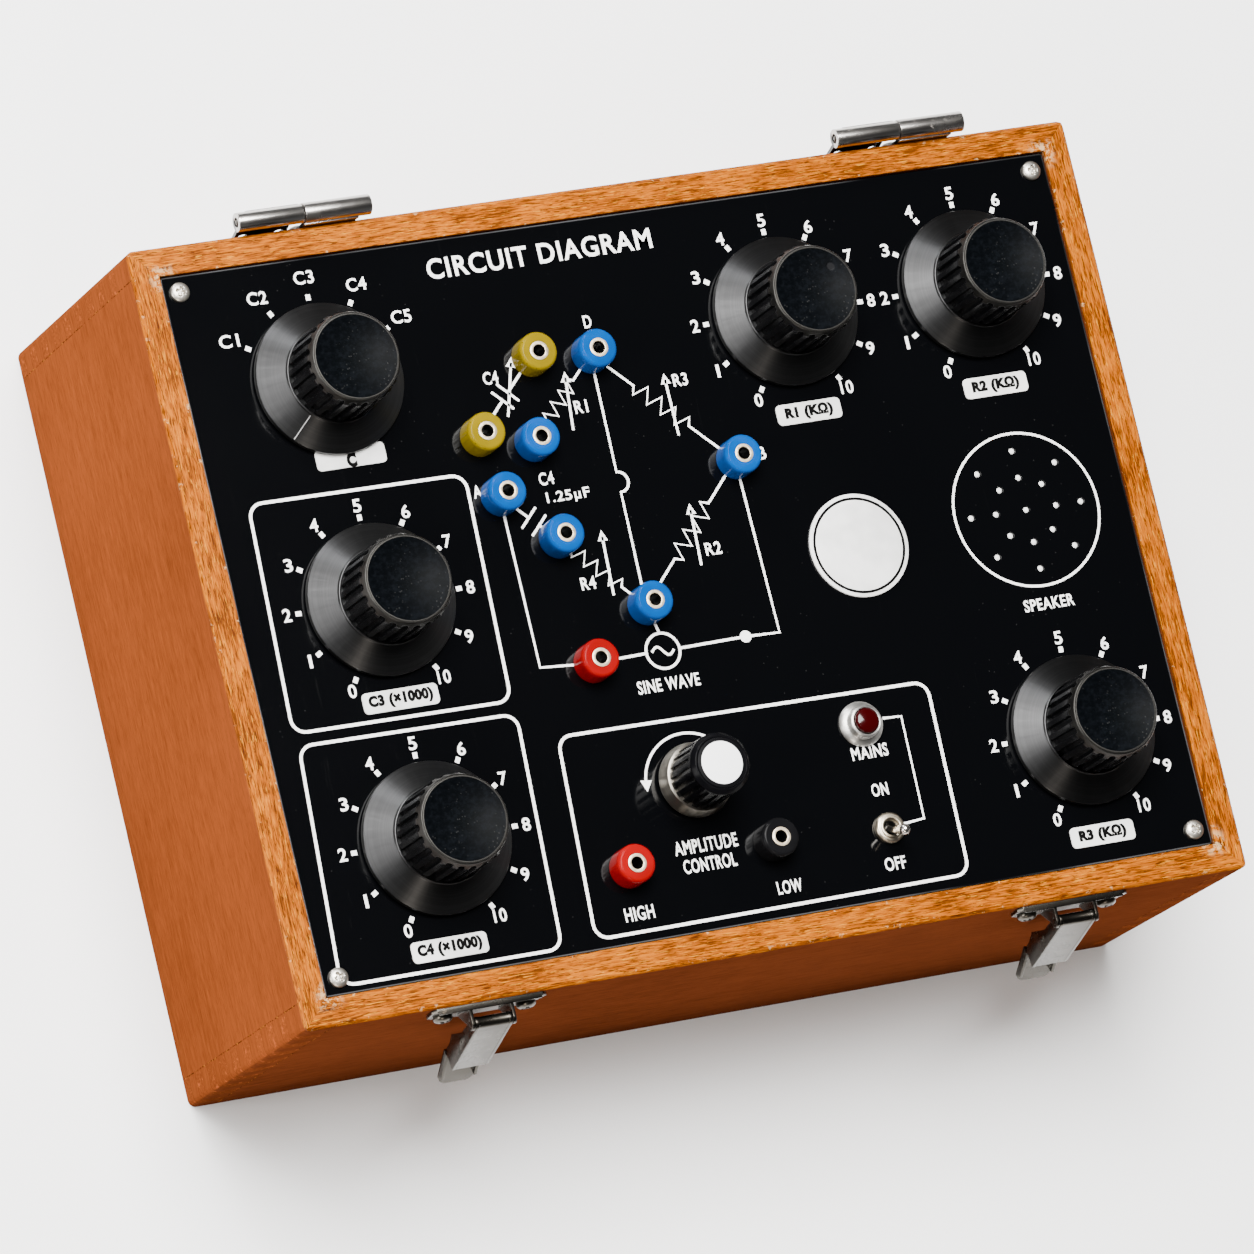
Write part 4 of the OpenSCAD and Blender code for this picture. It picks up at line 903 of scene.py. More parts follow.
class Printer:
    """Prints words and lines on a flat face."""

    def __init__(self, lines: Shaper) -> None:
        """Keeps the tree for lines."""
        self.lines = lines

    def letters(self, word: Word, z: float) -> bpy.types.Mesh:
        """One word as a thin mesh in place."""
        curve = bpy.data.curves.new("word", "FONT")
        curve.body = word.text
        curve.size = 1.0
        curve.extrude = 0.01
        curve.offset = word.weight
        curve.resolution_u = 4
        curve.space_character = 1.1
        curve.align_x = "CENTER"
        holder = link(bpy.data.objects.new("word", curve))
        graph = bpy.context.evaluated_depsgraph_get()
        data = bpy.data.meshes.new_from_object(holder.evaluated_get(graph), depsgraph=graph)
        bpy.data.objects.remove(holder)
        (left, right), (low, high) = ((min(c), max(c)) for c in ([v.co[i] for v in data.vertices] for i in (0, 1)))
        middle = Vector(((right + left) / 2, (high + low) / 2, 0))
        place = Matrix.Translation(Vector((word.x, word.y, z)) * MM)
        size = Matrix.Diagonal((word.width / (right - left) * MM, word.height / (high - low) * MM,
                                Layer.WORDS.value * MM / 0.02, 1))
        data.transform(place @ size @ Matrix.Translation(-middle))
        return data

    def words(self, name: str, words: Iterable[Word], finish: Finish, z: float) -> bpy.types.Object:
        """Prints words as one piece on a face at a height in millimetres."""
        mesh = bmesh.new()
        for word in words:
            data = self.letters(word, z + Layer.WORDS.value / 2)
            mesh.from_mesh(data)
            bpy.data.meshes.remove(data)
        bmesh.ops.remove_doubles(mesh, verts=mesh.verts, dist=1e-7)
        for face in mesh.faces:
            face.material_index = 0
        return settle(piece_from(mesh, name, finish, 20.0), "case", "label_print")

    def filled(self, name: str, outlines: Iterable[Sequence[Point]], z: float) -> bpy.types.Object:
        """Prints filled shapes as one piece."""
        mesh = bmesh.new()
        for outline in outlines:
            add_prism(mesh, [(x, y, z + Layer.MARKS.value) for x, y in outline], Layer.MARKS.value - 0.005)
        return settle(piece_from(mesh, name, INK_WHITE, 20.0), "case", "label_print")

    def strokes(self, name: str, paths: Iterable[Sequence[Point]], width: float, z: float,
                layer: Layer = Layer.LINES, corner: float = 0.0) -> bpy.types.Object:
        """Prints lines as one piece; a path whose ends meet is closed.

        Args:
            name: the piece's name.
            paths: the lines' points, in millimetres.
            width: the lines' width.
            z: height of the face.
            layer: the height of the print.
            corner: radius of the corners.

        Returns:
            The piece.
        """
        verts, edges = [], []
        for path in paths:
            closed = path[0] == path[-1]
            points = path[:-1] if closed else path
            first = len(verts)
            verts += [(x * MM, y * MM, (z + layer.value / 2) * MM) for x, y in points]
            edges += [(first + i, first + i + 1) for i in range(len(points) - 1)]
            if closed:
                edges.append((len(verts) - 1, first))
        start = bpy.data.meshes.new(name)
        start.from_pydata(verts, edges, [])
        values = {"Width": width * MM, "Thickness": layer.value * MM, "Corner": corner * MM,
                  "Material": INK_WHITE.material()}
        return settle(self.lines.run(name, start, values, 20.0), "case", "label_print")


def arc(centre: Point, radius: float, start: float, end: float, steps: int = 24) -> list[Point]:
    """Points along an arc, with its angles in degrees."""
    angles = (math.radians(start + (end - start) * i / steps) for i in range(steps + 1))
    return [(centre[0] + radius * math.cos(a), centre[1] + radius * math.sin(a)) for a in angles]


def ring_path(centre: Point, radius: float, steps: int = 72) -> list[Point]:
    """Points around a closed circle."""
    points = arc(centre, radius, 0, 360 - 360 / steps, steps - 1)
    return [*points, points[0]]


def along(first: Point, second: Point, share: float, aside: float = 0.0) -> Point:
    """A point at a share of the way between two points, and aside to the left of the way."""
    dx, dy = second[0] - first[0], second[1] - first[1]
    length = math.hypot(dx, dy)
    return first[0] + dx * share - dy / length * aside, first[1] + dy * share + dx / length * aside


def zigzag(first: Point, second: Point, start: float, end: float, teeth: int = 4,
           height: float = 2.6) -> list[Point]:
    """A resistor's line between two points, with its teeth from one share of the way to another."""
    points = [first, along(first, second, start)]
    for i in range(2 * teeth):
        share = start + (end - start) * (i + 0.5) / (2 * teeth)
        points.append(along(first, second, share, height if i % 2 else -height))
    return [*points, along(first, second, end), second]


def arrow_head(tip: Point, tail: Point, length: float = 3.4, half: float = 1.7) -> list[Point]:
    """The triangle of an arrow that ends at its tip."""
    base = length / math.dist(tip, tail)
    return [tip, along(tip, tail, base, half), along(tip, tail, base, -half)]


@dataclass
class ControlPanel:
    """The panel with its print: frames, circuit diagram, words and labels."""

    line_w: float = 1.02
    thin_w: float = 0.85
    mark_w: float = 0.8
    frame_corner: float = 4.5
    speaker_ring_r: float = 24.8
    yellow: tuple[Point, ...] = ((-37, 72.3), (-59.9, 49.8))
    blue: tuple[Point, ...] = ((-17.2, 70.6), (-42.6, 45.7), (22.2, 30.7), (-57.7, 30.4), (-42.1, 14.6),
                               (-18.4, -10.4))
    red: tuple[Point, ...] = ((-40.4, -25.6), (-44.6, -90.3))
    source: Point = (-16.5, -25.2)
    source_r: float = 5.6
    junction: Point = (11.7, -24.9)
    wire_corner: Point = (23.2, -25.3)
    left_corner: Point = (-57.7, -24.3)
    junction_r: float = 1.9
    screw_r: float = 3.1
    sweep_r: float = 15.4
    sweep_turns: Point = (57.0, 172.0)
    lamp_wire: tuple[Point, ...] = ((50.4, -57.2), (56.7, -57.5), (56.1, -90.3), (49.0, -90.9))

    def frames(self) -> list[list[Point]]:
        """Closed outlines around the two capacitor dials and the amplitude control."""
        c3 = [(-139.1, 39.7), (-67.4, 39.0), (-69.5, -33.1), (-141.6, -32.4)]
        c4 = [(-140.8, -36.5), (-68.9, -37.3), (-71.9, -111.2), (-144.9, -111.0)]
        amplitude = [(-57.4, -46.5), (67.8, -48.0), (66.7, -109.8), (-60.4, -110.3)]
        return [[*outline, outline[0]] for outline in (c3, c4, amplitude)]

    def wires(self) -> list[list[Point]]:
        """The diagram's lines, resistors and capacitor leads."""
        y1, y2 = self.yellow
        b1, b2, b3, b4, b5, b6 = self.blue
        hop_up, hop_down = along(b1, b6, 0.47), along(b1, b6, 0.55)
        middle = along(hop_up, hop_down, 0.5)
        facing = math.degrees(math.atan2(hop_up[1] - middle[1], hop_up[0] - middle[0]))
        radius = math.dist(hop_up, hop_down) / 2
        bridge = [b1, *arc(middle, radius, facing, facing - 180, 12), b6]
        left = [b4, self.left_corner, self.red[0], (self.source[0] - self.source_r, self.source[1])]
        right = [(self.source[0] + self.source_r, self.source[1]), self.junction, self.wire_corner, b3]
        return [bridge, left, right, [b6, (self.source[0] + 0.2, self.source[1] + self.source_r)],
                zigzag(b1, b2, 0.3, 0.82, 4, 2.3), zigzag(b1, b3, 0.3, 0.68), zigzag(b3, b6, 0.3, 0.68),
                zigzag(b5, b6, 0.16, 0.72, 4, 2.3), [b4, along(b4, b5, 0.52)], [along(b4, b5, 0.7), b5],
                [y2, along(y2, y1, 0.46)], [along(y2, y1, 0.56), y1]]

    def plates(self) -> list[list[Point]]:
        """The plates of the two capacitors."""
        found = []
        for first, second, shares, half in ((self.blue[3], self.blue[4], (0.5, 0.68), 4.2),
                                            (self.yellow[1], self.yellow[0], (0.46, 0.56), 4.4)):
            found += [[along(first, second, s, half), along(first, second, s, -half)] for s in shares]
        return found

    def arrows(self) -> list[tuple[Point, Point]]:
        """Tip and tail of the arrows that mark what can be set."""
        return [((-27.0, 66.3), (-28.6, 47.6)), ((5.4, 61.1), (5.6, 41.0)), ((3.6, 19.2), (2.8, -0.6)),
                ((-27.4, 15.2), (-28.2, -5.6)), ((-43.2, 73.4), (-48.8, 54.8))]

    def words(self) -> list[Word]:
        """The words and signs in white."""
        table = (("CIRCUIT DIAGRAM", -26, 104.4, 6.6, 76), ("SPEAKER", 115.4, -29.7, 3.9, 17.4),
                 ("SINE WAVE", -17.2, -35.6, 4.2, 21), ("AMPLITUDE", -17.6, -86.9, 4.4, 21.2),
                 ("CONTROL", -17.7, -92.9, 4.4, 17.8), ("HIGH", -44.4, -104.5, 4.4, 9.8),
                 ("LOW", 6.5, -104.2, 4.2, 8.4), ("MAINS", 43.4, -66.9, 4.2, 12.4), ("ON", 43.7, -79.1, 4.1, 5.6),
                 ("OFF", 43, -102.7, 4.2, 7.1), ("R1", -24.3, 54.6, 4.1, 4.4), ("R3", 10.4, 58.4, 4.1, 5.0),
                 ("R4", -35.6, -0.6, 4.1, 5.0), ("R2", 8.0, 4.1, 4.1, 5.4), ("C4", -51.6, 67.7, 4.1, 5.0),
                 ("C4", -41.2, 33.8, 4.1, 5.0), ("1.25µF", -35.4, 27.4, 4.1, 14.5), ("A", -64.6, 33, 4.1, 2.8),
                 ("B", 31.6, 31.5, 4.1, 2.6), ("D", -15.6, 80.9, 4.1, 2.6))
        return [Word(*row) for row in table]

    def build(self, printer: Printer, screws: ScrewSet) -> None:
        """Dresses the panel and prints it."""
        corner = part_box("control_panel")[1]
        dress("control_panel", GlossSheet("gloss_black_sheet", corner.x / MM, corner.y / MM))
        arrows, (x, y) = self.arrows(), self.source
        tails = [[along(tip, tail, 0.1), tail] for tip, tail in arrows]
        tails.append([(x + 7.4 * (t / 12 - 0.5), y + 1.5 * math.sin(t * math.pi / 6)) for t in range(13)])
        grille = centre_of("speaker_frame")
        printer.strokes("panel_frames", self.frames(), self.line_w, PANEL_Z, corner=self.frame_corner)
        printer.strokes("diagram_wires", self.wires(), self.thin_w, PANEL_Z)
        printer.strokes("diagram_plates", self.plates(), self.mark_w, PANEL_Z, Layer.MARKS)
        printer.strokes("diagram_arrows", tails, self.mark_w, PANEL_Z, Layer.MARKS)
        printer.strokes("source_ring", [ring_path(self.source, self.source_r)], self.thin_w, PANEL_Z, Layer.MARKS)
        printer.strokes("speaker_ring", [ring_path(grille, self.speaker_ring_r)], self.mark_w, PANEL_Z)
        outlines = [arrow_head(tip, tail) for tip, tail in arrows]
        printer.filled("diagram_solids", [*outlines, arc(self.junction, self.junction_r, 0, 345, 23)], PANEL_Z)
        self.amplitude_arc(printer)
        printer.words("panel_words", self.words(), INK_WHITE, PANEL_Z)
        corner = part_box("panel_screws")[1] / MM
        places = [(sx * (corner.x - self.screw_r), sy * (corner.y - self.screw_r), PANEL_Z)
                  for sx in (-1, 1) for sy in (-1, 1)]
        screws.place("panel_screws_finished", "panel_screws", places, [(0, 0, a) for a in (20, 65, 38, 80)])

    def amplitude_arc(self, printer: Printer) -> None:
        """Prints the line from the lamp to the switch, and the amplitude knob's arc with its arrow."""
        sweep = arc(centre_of("amplitude_cap"), self.sweep_r, *self.sweep_turns, 30)
        printer.strokes("lamp_line", [self.lamp_wire, sweep], self.mark_w, PANEL_Z)
        tip = (sweep[-1][0] - 0.2, sweep[-1][1] - 3)
        printer.filled("amplitude_arrow", [arrow_head(tip, (tip[0] + 0.4, tip[1] + 4), 3.6, 1.9)], PANEL_Z)


@dataclass
class Dial:
    """A skirted dial with a fluted grip, and the scale printed around it."""

    prefix: str
    labels: tuple[str, ...]
    first: float = 240.0
    step: float = 30.0
    plate_text: str = ""
    plate_width: float = 15.0
    plate_from: Point = (0.0, 0.0)
    index_at: float = 30.0
    skirt_r: float = 24.0
    rim_top: float = 2.7
    collar_top: float = 7.7
    collar_lip: float = 0.6
    boss_r: float = 7.9
    grip_r: float = 15.0
    chamfer_h: float = 2.4
    chamfer_w: float = 1.3
    flutes: int = 24
    flute_w: float = 2.0
    flute_depth: float = 1.4
    mark_r: float = 26.6
    mark_len: float = 1.9
    mark_w: float = 1.5
    number_r: float = 30.4
    label_r: float = 33.0

    def __post_init__(self) -> None:
        """Reads the dial's place from the frame."""
        self.centre = centre_of(f"{self.prefix}_cap")
        low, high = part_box(f"{self.prefix}_grip")
        self.top = high.z / MM
        self.bottom = low.z / MM
        self.base = PANEL_Z + self.collar_top - self.collar_lip

    def build(self, marks: Shaper) -> list[Word]:
        """Dresses the dial and prints its marks.

        Args:
            marks: the tree for the marks.

        Returns:
            The numbers around the dial.
        """
        body = f"{self.prefix}_dial"
        spun = SpunMetal(f"{self.prefix}_spun_black", self.centre, (0.032, 0.0322, 0.033), 0.28)
        soften(f"{self.prefix}_skirt", spun, 0.3, 3)
        settle(piece_from(self.grip(), f"{self.prefix}_grip_fluted", self.grip_finish(), 50.0), body,
               "knob_black", f"{self.prefix}_grip")
        settle(piece_from(self.cap(), f"{self.prefix}_cap_disc", self.cap_finish(), 40.0), body,
               "cap_black", f"{self.prefix}_cap")
        settle(self.index(), body, "label_print")
        values = {"Centre": (self.centre[0] * MM, self.centre[1] * MM, (PANEL_Z + Layer.MARKS.value / 2) * MM),
                  "Radius": self.mark_r * MM, "First": math.radians(self.first), "Step": math.radians(self.step),
                  "Count": len(self.labels), "Length": self.mark_len * MM, "Width": self.mark_w * MM,
                  "Thickness": Layer.MARKS.value * MM, "Material": INK_WHITE.material()}
        start = bpy.data.meshes.new("scale")
        settle(marks.run(f"{self.prefix}_scale_marks", start, values, 20.0), "case", "label_print")
        return self.numbers()

    def numbers(self) -> list[Word]:
        """The scale's numbers or labels."""
        found = []
        for i, text in enumerate(self.labels):
            lettered = text[0] == "C"
            spot = self.around(self.label_r if lettered else self.number_r, math.radians(self.first - i * self.step))
            found.append(Word(text, *spot, 4.2, 6.6 if lettered else {"1": 1.05, "10": 4.3}.get(text, 2.7)))
        return found

    def around(self, radius: float, angle: float, aside: float = 0.0) -> Point:
        """A point at a distance from the dial's axis and an angle, and aside to the left of that ray."""
        return (self.centre[0] + radius * math.cos(angle) - aside * math.sin(angle),
                self.centre[1] + radius * math.sin(angle) + aside * math.cos(angle))

    def grip(self) -> bmesh.types.BMesh:
        """The grip with round-topped flutes that run out in its chamfer."""
        per_flute, levels, slopes = 14, 30, 8
        around = self.flutes * per_flute
        shoulder = self.top - self.chamfer_h
        inner = self.grip_r - self.chamfer_w
        start, rise = self.base + 0.7, shoulder - 0.5 - self.base - 0.7
        slope_r, slope_z = self.grip_r - 0.25, shoulder + 0.2
        rings = [(self.boss_r, self.bottom), (self.boss_r, self.base), (self.grip_r - 0.5, self.base),
                 (self.grip_r - 0.1, self.base + 0.35)]
        rings += [(self.grip_r, start + rise * i / levels) for i in range(levels + 1)]
        rings += [(self.grip_r - 0.08, shoulder - 0.15), (slope_r, slope_z)]
        rings += [(slope_r + (inner + 0.35 - slope_r) * i / slopes, slope_z + (self.top - 0.2 - slope_z) * i / slopes)
                  for i in range(1, slopes + 1)]
        rings += [(inner + 0.15, self.top - 0.03), (inner + 0.05, self.top), (inner - 0.1, self.top),
                  (inner - 0.12, self.top - 0.5)]
        mesh = bmesh.new()
        axis = (*self.centre, 0)
        rows = []
        for radius, height in rings:
            deeps = (self.flute(2 * math.pi * k / around, height) for k in range(around))
            reaches = [min(radius, radius - deep + (self.grip_r - radius) * min(1.0, deep)) for deep in deeps]
            rows.append(add_ring(mesh, reaches, axis, height))
        skin(mesh, [add_ring(mesh, [0], axis, self.bottom), *rows, add_ring(mesh, [0], axis, self.top - 0.5)])
        return mesh

    def flute(self, turn: float, height: float) -> float:
        """Depth of the flutes at an angle and a height, in millimetres."""
        pitch = 2 * math.pi / self.flutes
        off = (turn + pitch / 2) % pitch - pitch / 2
        aside = abs(off) * self.grip_r
        end = self.top - self.chamfer_h + 0.9
        beyond = max(0.0, height - (end - self.flute_w / 2))
        reach = math.hypot(aside, beyond)
        return self.flute_depth * (1 - smooth(reach, self.flute_w / 2 - 0.2, self.flute_w / 2 + 0.12))

    def grip_finish(self) -> "FlutedGrip":
        """Black grip with a turned, brighter chamfer."""
        lower = self.top - self.chamfer_h + 0.1
        return FlutedGrip(f"{self.prefix}_grip_black", self.centre, lower, self.grip_r - 0.9)

    def cap(self) -> bmesh.types.BMesh:
        """The thin disc in the grip's top with a raised bright edge."""
        radius = self.grip_r - self.chamfer_w - 0.15
        low = self.top - 0.5
        profile = [(0, low), (radius, low), (radius, self.top + 0.12), (radius - 0.12, self.top + 0.26),
                   (radius - 0.4, self.top + 0.28), (radius - 0.55, self.top + 0.16), (0, self.top + 0.16)]
        return revolve(profile, (*self.centre, 0), 128)

    def cap_finish(self) -> "SpeckledDisc":
        """Matt black disc with specks."""
        return SpeckledDisc(f"{self.prefix}_cap_speckled", self.centre, self.grip_r - self.chamfer_w - 0.6,
                            self.prefix == "r1")

    def index(self) -> bpy.types.Object:
        """The engraved index line on the skirt."""
        angle = math.radians(self.index_at)
        inner, outer, half = self.grip_r + 1.0, self.skirt_r - 0.25, 0.14
        high_r, high_z = self.grip_r + 0.7, PANEL_Z + self.collar_top - 0.5
        slope = (PANEL_Z + self.rim_top - high_z) / (self.skirt_r - high_r)
        corners = [(*self.around(radius, angle, side), high_z + slope * (radius - high_r) + 0.05)
                   for radius, side in ((inner, -half), (outer, -half), (outer, half), (inner, half))]
        mesh = bmesh.new()
        add_prism(mesh, corners, 0.2)
        return piece_from(mesh, f"{self.prefix}_index_line", INK_GREY, 20.0)


@dataclass(frozen=True)
class FlutedGrip(Finish):
    """Black moulded grip whose chamfer is turned and brighter."""

    centre: Point
    chamfer_z: float
    chamfer_r: float

    def surface(self, graph: Graph) -> dict:
        """The shader's inputs by name."""
        local, radius, z = graph.about(self.centre)
        turned = z.step((self.chamfer_z - 0.25) * MM, (self.chamfer_z + 0.15) * MM)
        turned = turned * radius.step((self.chamfer_r - 1.6) * MM, (self.chamfer_r - 1.2) * MM)
        rings = graph.noise(graph.vector(radius, z), 3600, 3, 0.7)
        cloud = graph.noise(local, 220)
        black = graph.mix(cloud.step(0.4, 0.7), (0.003, 0.003, 0.0035), (0.006, 0.006, 0.0065))
        cut = graph.mix(rings.step(0.35, 0.65), (0.012, 0.0115, 0.011), (0.03, 0.029, 0.027))
        return {"Base Color": graph.mix(turned, black, cut), "Roughness": 0.2 + cloud * 0.1 + turned * 0.06,
                "Metallic": turned * 0.9, "Specular IOR Level": 0.12,
                "Normal": graph.bump(rings * turned + cloud * 0.3, 0.3, 0.00004, 0.00015)}


@dataclass(frozen=True)
class SpeckledDisc(Finish):
    """Matt black disc with pale specks and a bright edge."""

    centre: Point
    edge_r: float
    dimpled: bool = False

    def surface(self, graph: Graph) -> dict:
        """The shader's inputs by name."""
        local, radius, _ = graph.about(self.centre)
        bright = radius.step((self.edge_r - 0.1) * MM, (self.edge_r + 0.15) * MM)
        grain = graph.noise(local, 620, 4, 0.7)
        cloud = graph.noise(local, 120)
        specks = graph.specks(local, 900, (0.24, 0.12), 170, 2, (0.44, 0.6))
        black = graph.mix(grain.step(0.4, 0.7), (0.0008, 0.0011, 0.0015), (0.0022, 0.0028, 0.0038))
        colour = graph.mix(specks * 0.3, black, (0.05, 0.05, 0.049))
        colour = graph.mix(bright, colour, (0.03, 0.029, 0.027))
        height = grain * 0.7 + specks * 0.6
        if self.dimpled:
            _, off, _ = graph.about((self.centre[0] + 6.8, self.centre[1] + 6.4))
            dent = off.step(1.6 * MM, 1.0 * MM)
            height = height - dent * 4.0
            colour = graph.mix(dent * 0.5, colour, (0.012, 0.012, 0.013))
        return {"Base Color": colour, "Roughness": 0.36 + cloud * 0.15, "Metallic": bright * 0.8,
                "Specular IOR Level": 0.02, "Normal": graph.bump(height, 0.5, 0.00005, 0.0001)}


@dataclass(frozen=True)
class SocketTube(Finish):
    """Plated tube with a pale lip; below the lip the bore is painted dark as shade."""

    top: float
    lip: float = 0.35
    colour: Colour = (0.62, 0.52, 0.38)

    def surface(self, graph: Graph) -> dict:
        """The shader's inputs by name."""
        place = graph.place()
        lip = graph.split(place)[2].step((self.top - self.lip - 0.15) * MM, (self.top - self.lip) * MM)
        cloud = graph.noise(place, 300)
        plate = graph.blotched(cloud, 0.4, 0.7, self.colour, 0.6)
        # Painted shade: everything below the lip is near-black.
        return {"Base Color": graph.mix(lip, (0.003, 0.003, 0.003), plate), "Roughness": 0.25 + cloud * 0.15,
                "Metallic": lip * 0.6, "Specular IOR Level": 0.1, "Normal": graph.bump(cloud, 0.2, 0.00003)}


@dataclass(frozen=True)
class BoredMetal(Finish):
    """Turned metal round an upright bore, which is painted dark as shade."""

    centre: Point
    bore_r: float
    colour: Colour

    def surface(self, graph: Graph) -> dict:
        """The shader's inputs by name."""
        local, radius, _ = graph.about(self.centre)
        solid = radius.step((self.bore_r - 0.25) * MM, self.bore_r * MM)
        cloud = graph.noise(local, 300)
        plate = graph.blotched(cloud, 0.4, 0.7, self.colour, 0.6)
        # Painted shade: inside the bore's radius the colour is near-black and not metallic.
        return {"Base Color": graph.mix(solid, (0.004, 0.004, 0.004), plate), "Roughness": 0.24 + cloud * 0.12,
                "Metallic": solid, "Specular IOR Level": 0.1, "Normal": graph.bump(cloud, 0.2, 0.00003)}


class Sockets:
    """The plug sockets' coloured heads and metal tubes."""

    colours: dict[str, Colour] = {
        "yellow_sockets": (0.16, 0.112, 0.0), "blue_sockets": (0.0, 0.045, 0.21),
        "red_sockets": (0.2, 0.0005, 0.002), "black_socket": (0.004, 0.004, 0.0045)}

    def build(self) -> None:
        """Dresses the sockets."""
        for node, colour in self.colours.items():
            soften(node, Gloss(f"{node}_plastic", colour, 0.16, ripple=0.05, mirror=0.04), 0.35, 3)
        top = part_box("socket_contacts")[1].z / MM
        soften("socket_contacts", SocketTube("contact_plate", top), 0.15, 2)


@dataclass(frozen=True)
class RimmedDisc(Finish):
    """White disc with a black rim."""

    centre: Point
    white_r: float

    def surface(self, graph: Graph) -> dict:
        """The shader's inputs by name."""
        local, radius, _ = graph.about(self.centre)
        rim = radius.step((self.white_r - 0.05) * MM, (self.white_r + 0.1) * MM)
        cloud = graph.noise(local, 160)
        white = graph.mix(cloud, (0.84, 0.85, 0.86), (0.9, 0.91, 0.92))
        return {"Base Color": graph.mix(rim, white, (0.002, 0.002, 0.0025)), "Roughness": 0.32 + cloud * 0.1,
                "Specular IOR Level": 0.04}


@dataclass
class AmplitudeKnob:
    """The knob with a metal collar, a fluted grip and a white disc."""

    white_r: float = 6.7

    def build(self) -> None:
        """Dresses the knob."""
        centre = centre_of("amplitude_cap")
        soften("amplitude_collar", SpunMetal("amplitude_collar_spun", centre, (0.2, 0.185, 0.16), 0.26, 0.5, 0.4))
        soften("amplitude_grip", GRIP_BLACK, 0.3, 2, 30.0)
        soften("amplitude_cap", RimmedDisc("cap_white_plastic", centre, self.white_r), 0.2, 2)


@dataclass
class LampAndSwitch:
    """The pilot lamp and the toggle switch."""

    lens_rows: tuple[Point, ...] = ((4.1, 0.0), (4.0, 0.7), (3.3, 1.15), (2.2, 1.4), (0.0, 1.5))
    lens_sides: int = 12
    foot_r: float = 4.05

    def build(self) -> None:
        """Dresses the lamp and the switch."""
        soften("lamp_bezel", SpunMetal("lamp_flange", centre_of("lamp_lens"), (0.5, 0.49, 0.47), 0.34, 0.9, 0.0),
               0.3, 3)
        self.lens()
        bush = BoredMetal("toggle_nut", centre_of("toggle_switch"), 2.5, (0.56, 0.49, 0.38))
        soften("toggle_switch", bush)
        soften("toggle_lever", PlatedMetal("toggle_bat", (0.55, 0.52, 0.48), 0.16, 0.1, (1, 1, 1)), 0.1, 1)

    def lens(self) -> None:
        """The faceted red lens."""
        low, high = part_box("lamp_lens")
        centre = centre_of("lamp_lens")
        seat = high.z / MM - self.lens_rows[-1][1]
        foot = low.z / MM - seat
        mesh = revolve([(0, foot), (self.foot_r, foot), *self.lens_rows], (*centre, seat), self.lens_sides)
        finish = Gloss("lens_red_clear", (0.02, 0.0002, 0.0006), 0.1, ripple=0.05, rounded=0.0001, mirror=0.3)
        settle(piece_from(mesh, "lamp_lens_faceted", finish, 12.0), "case", "lens_red", "lamp_lens")


@dataclass
class Speaker:
    """The speaker behind its grille."""

    hole_r: float = 1.1
    rings: tuple[float, ...] = (10.5, 19.2)
    spokes: int = 8
    swell: float = 2.8

    def tuft(self) -> bpy.types.Object:
        """The pattern of the cloth where it swells into a hole."""
        radius = self.hole_r - 0.08
        profile = [(0, -0.2), (radius, -0.2), (radius, self.swell * 0.85), (radius * 0.8, self.swell * 0.95),
                   (radius * 0.4, self.swell), (0, self.swell + 0.03)]
        return piece_from(revolve(profile, (0, 0, 0), 16), "tuft_pattern", self.cloth(), 60.0)

    def cloth(self) -> "Cloth":
        """The pale cloth."""
        return Cloth("grille_cloth", (0.92, 0.92, 0.91))

    def build(self, copies: Shaper) -> None:
        """Dresses the speaker's parts and lets the cloth show in the grille's holes."""
        centre = centre_of("speaker_frame")
        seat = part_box("control_panel")[0].z / MM
        places = [(*centre, seat)]
        for radius in self.rings:
            places += [(*spot, seat) for spot in ring_path(centre, radius, self.spokes)[:-1]]
        pattern = self.tuft()
        turns = [NO_TURN] * len(places)
        settle(copy_at(copies, "cloth_tufts", pattern, self.cloth(), places, turns, 60.0), "case", "speaker_cloth")
        bpy.data.objects.remove(pattern)
        dress("speaker_frame", PlatedMetal("speaker_pressing", (0.2, 0.2, 0.2), 0.4, 0.3))
        dress("speaker_cone", Cloth("speaker_paper", (0.05, 0.05, 0.05), 0.9))
        dress("speaker_cloth", self.cloth())


@dataclass
class Badge:
    """The round badge, left bare but for a printed ring."""

    ring_r: float = 15.0
    ring_w: float = 0.85

    def build(self, printer: Printer) -> None:
        """Dresses the badge."""
        centre = centre_of("badge_disc")
        soften("badge_disc", Gloss("badge_white", (0.72, 0.72, 0.715), 0.3, ripple=0.03), 0.2, 2)
        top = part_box("badge_disc")[1].z / MM
        ring = printer.strokes("badge_ring", [ring_path(centre, self.ring_r)], self.ring_w, top)
        ring.data.materials[0] = INK_BLACK.material()


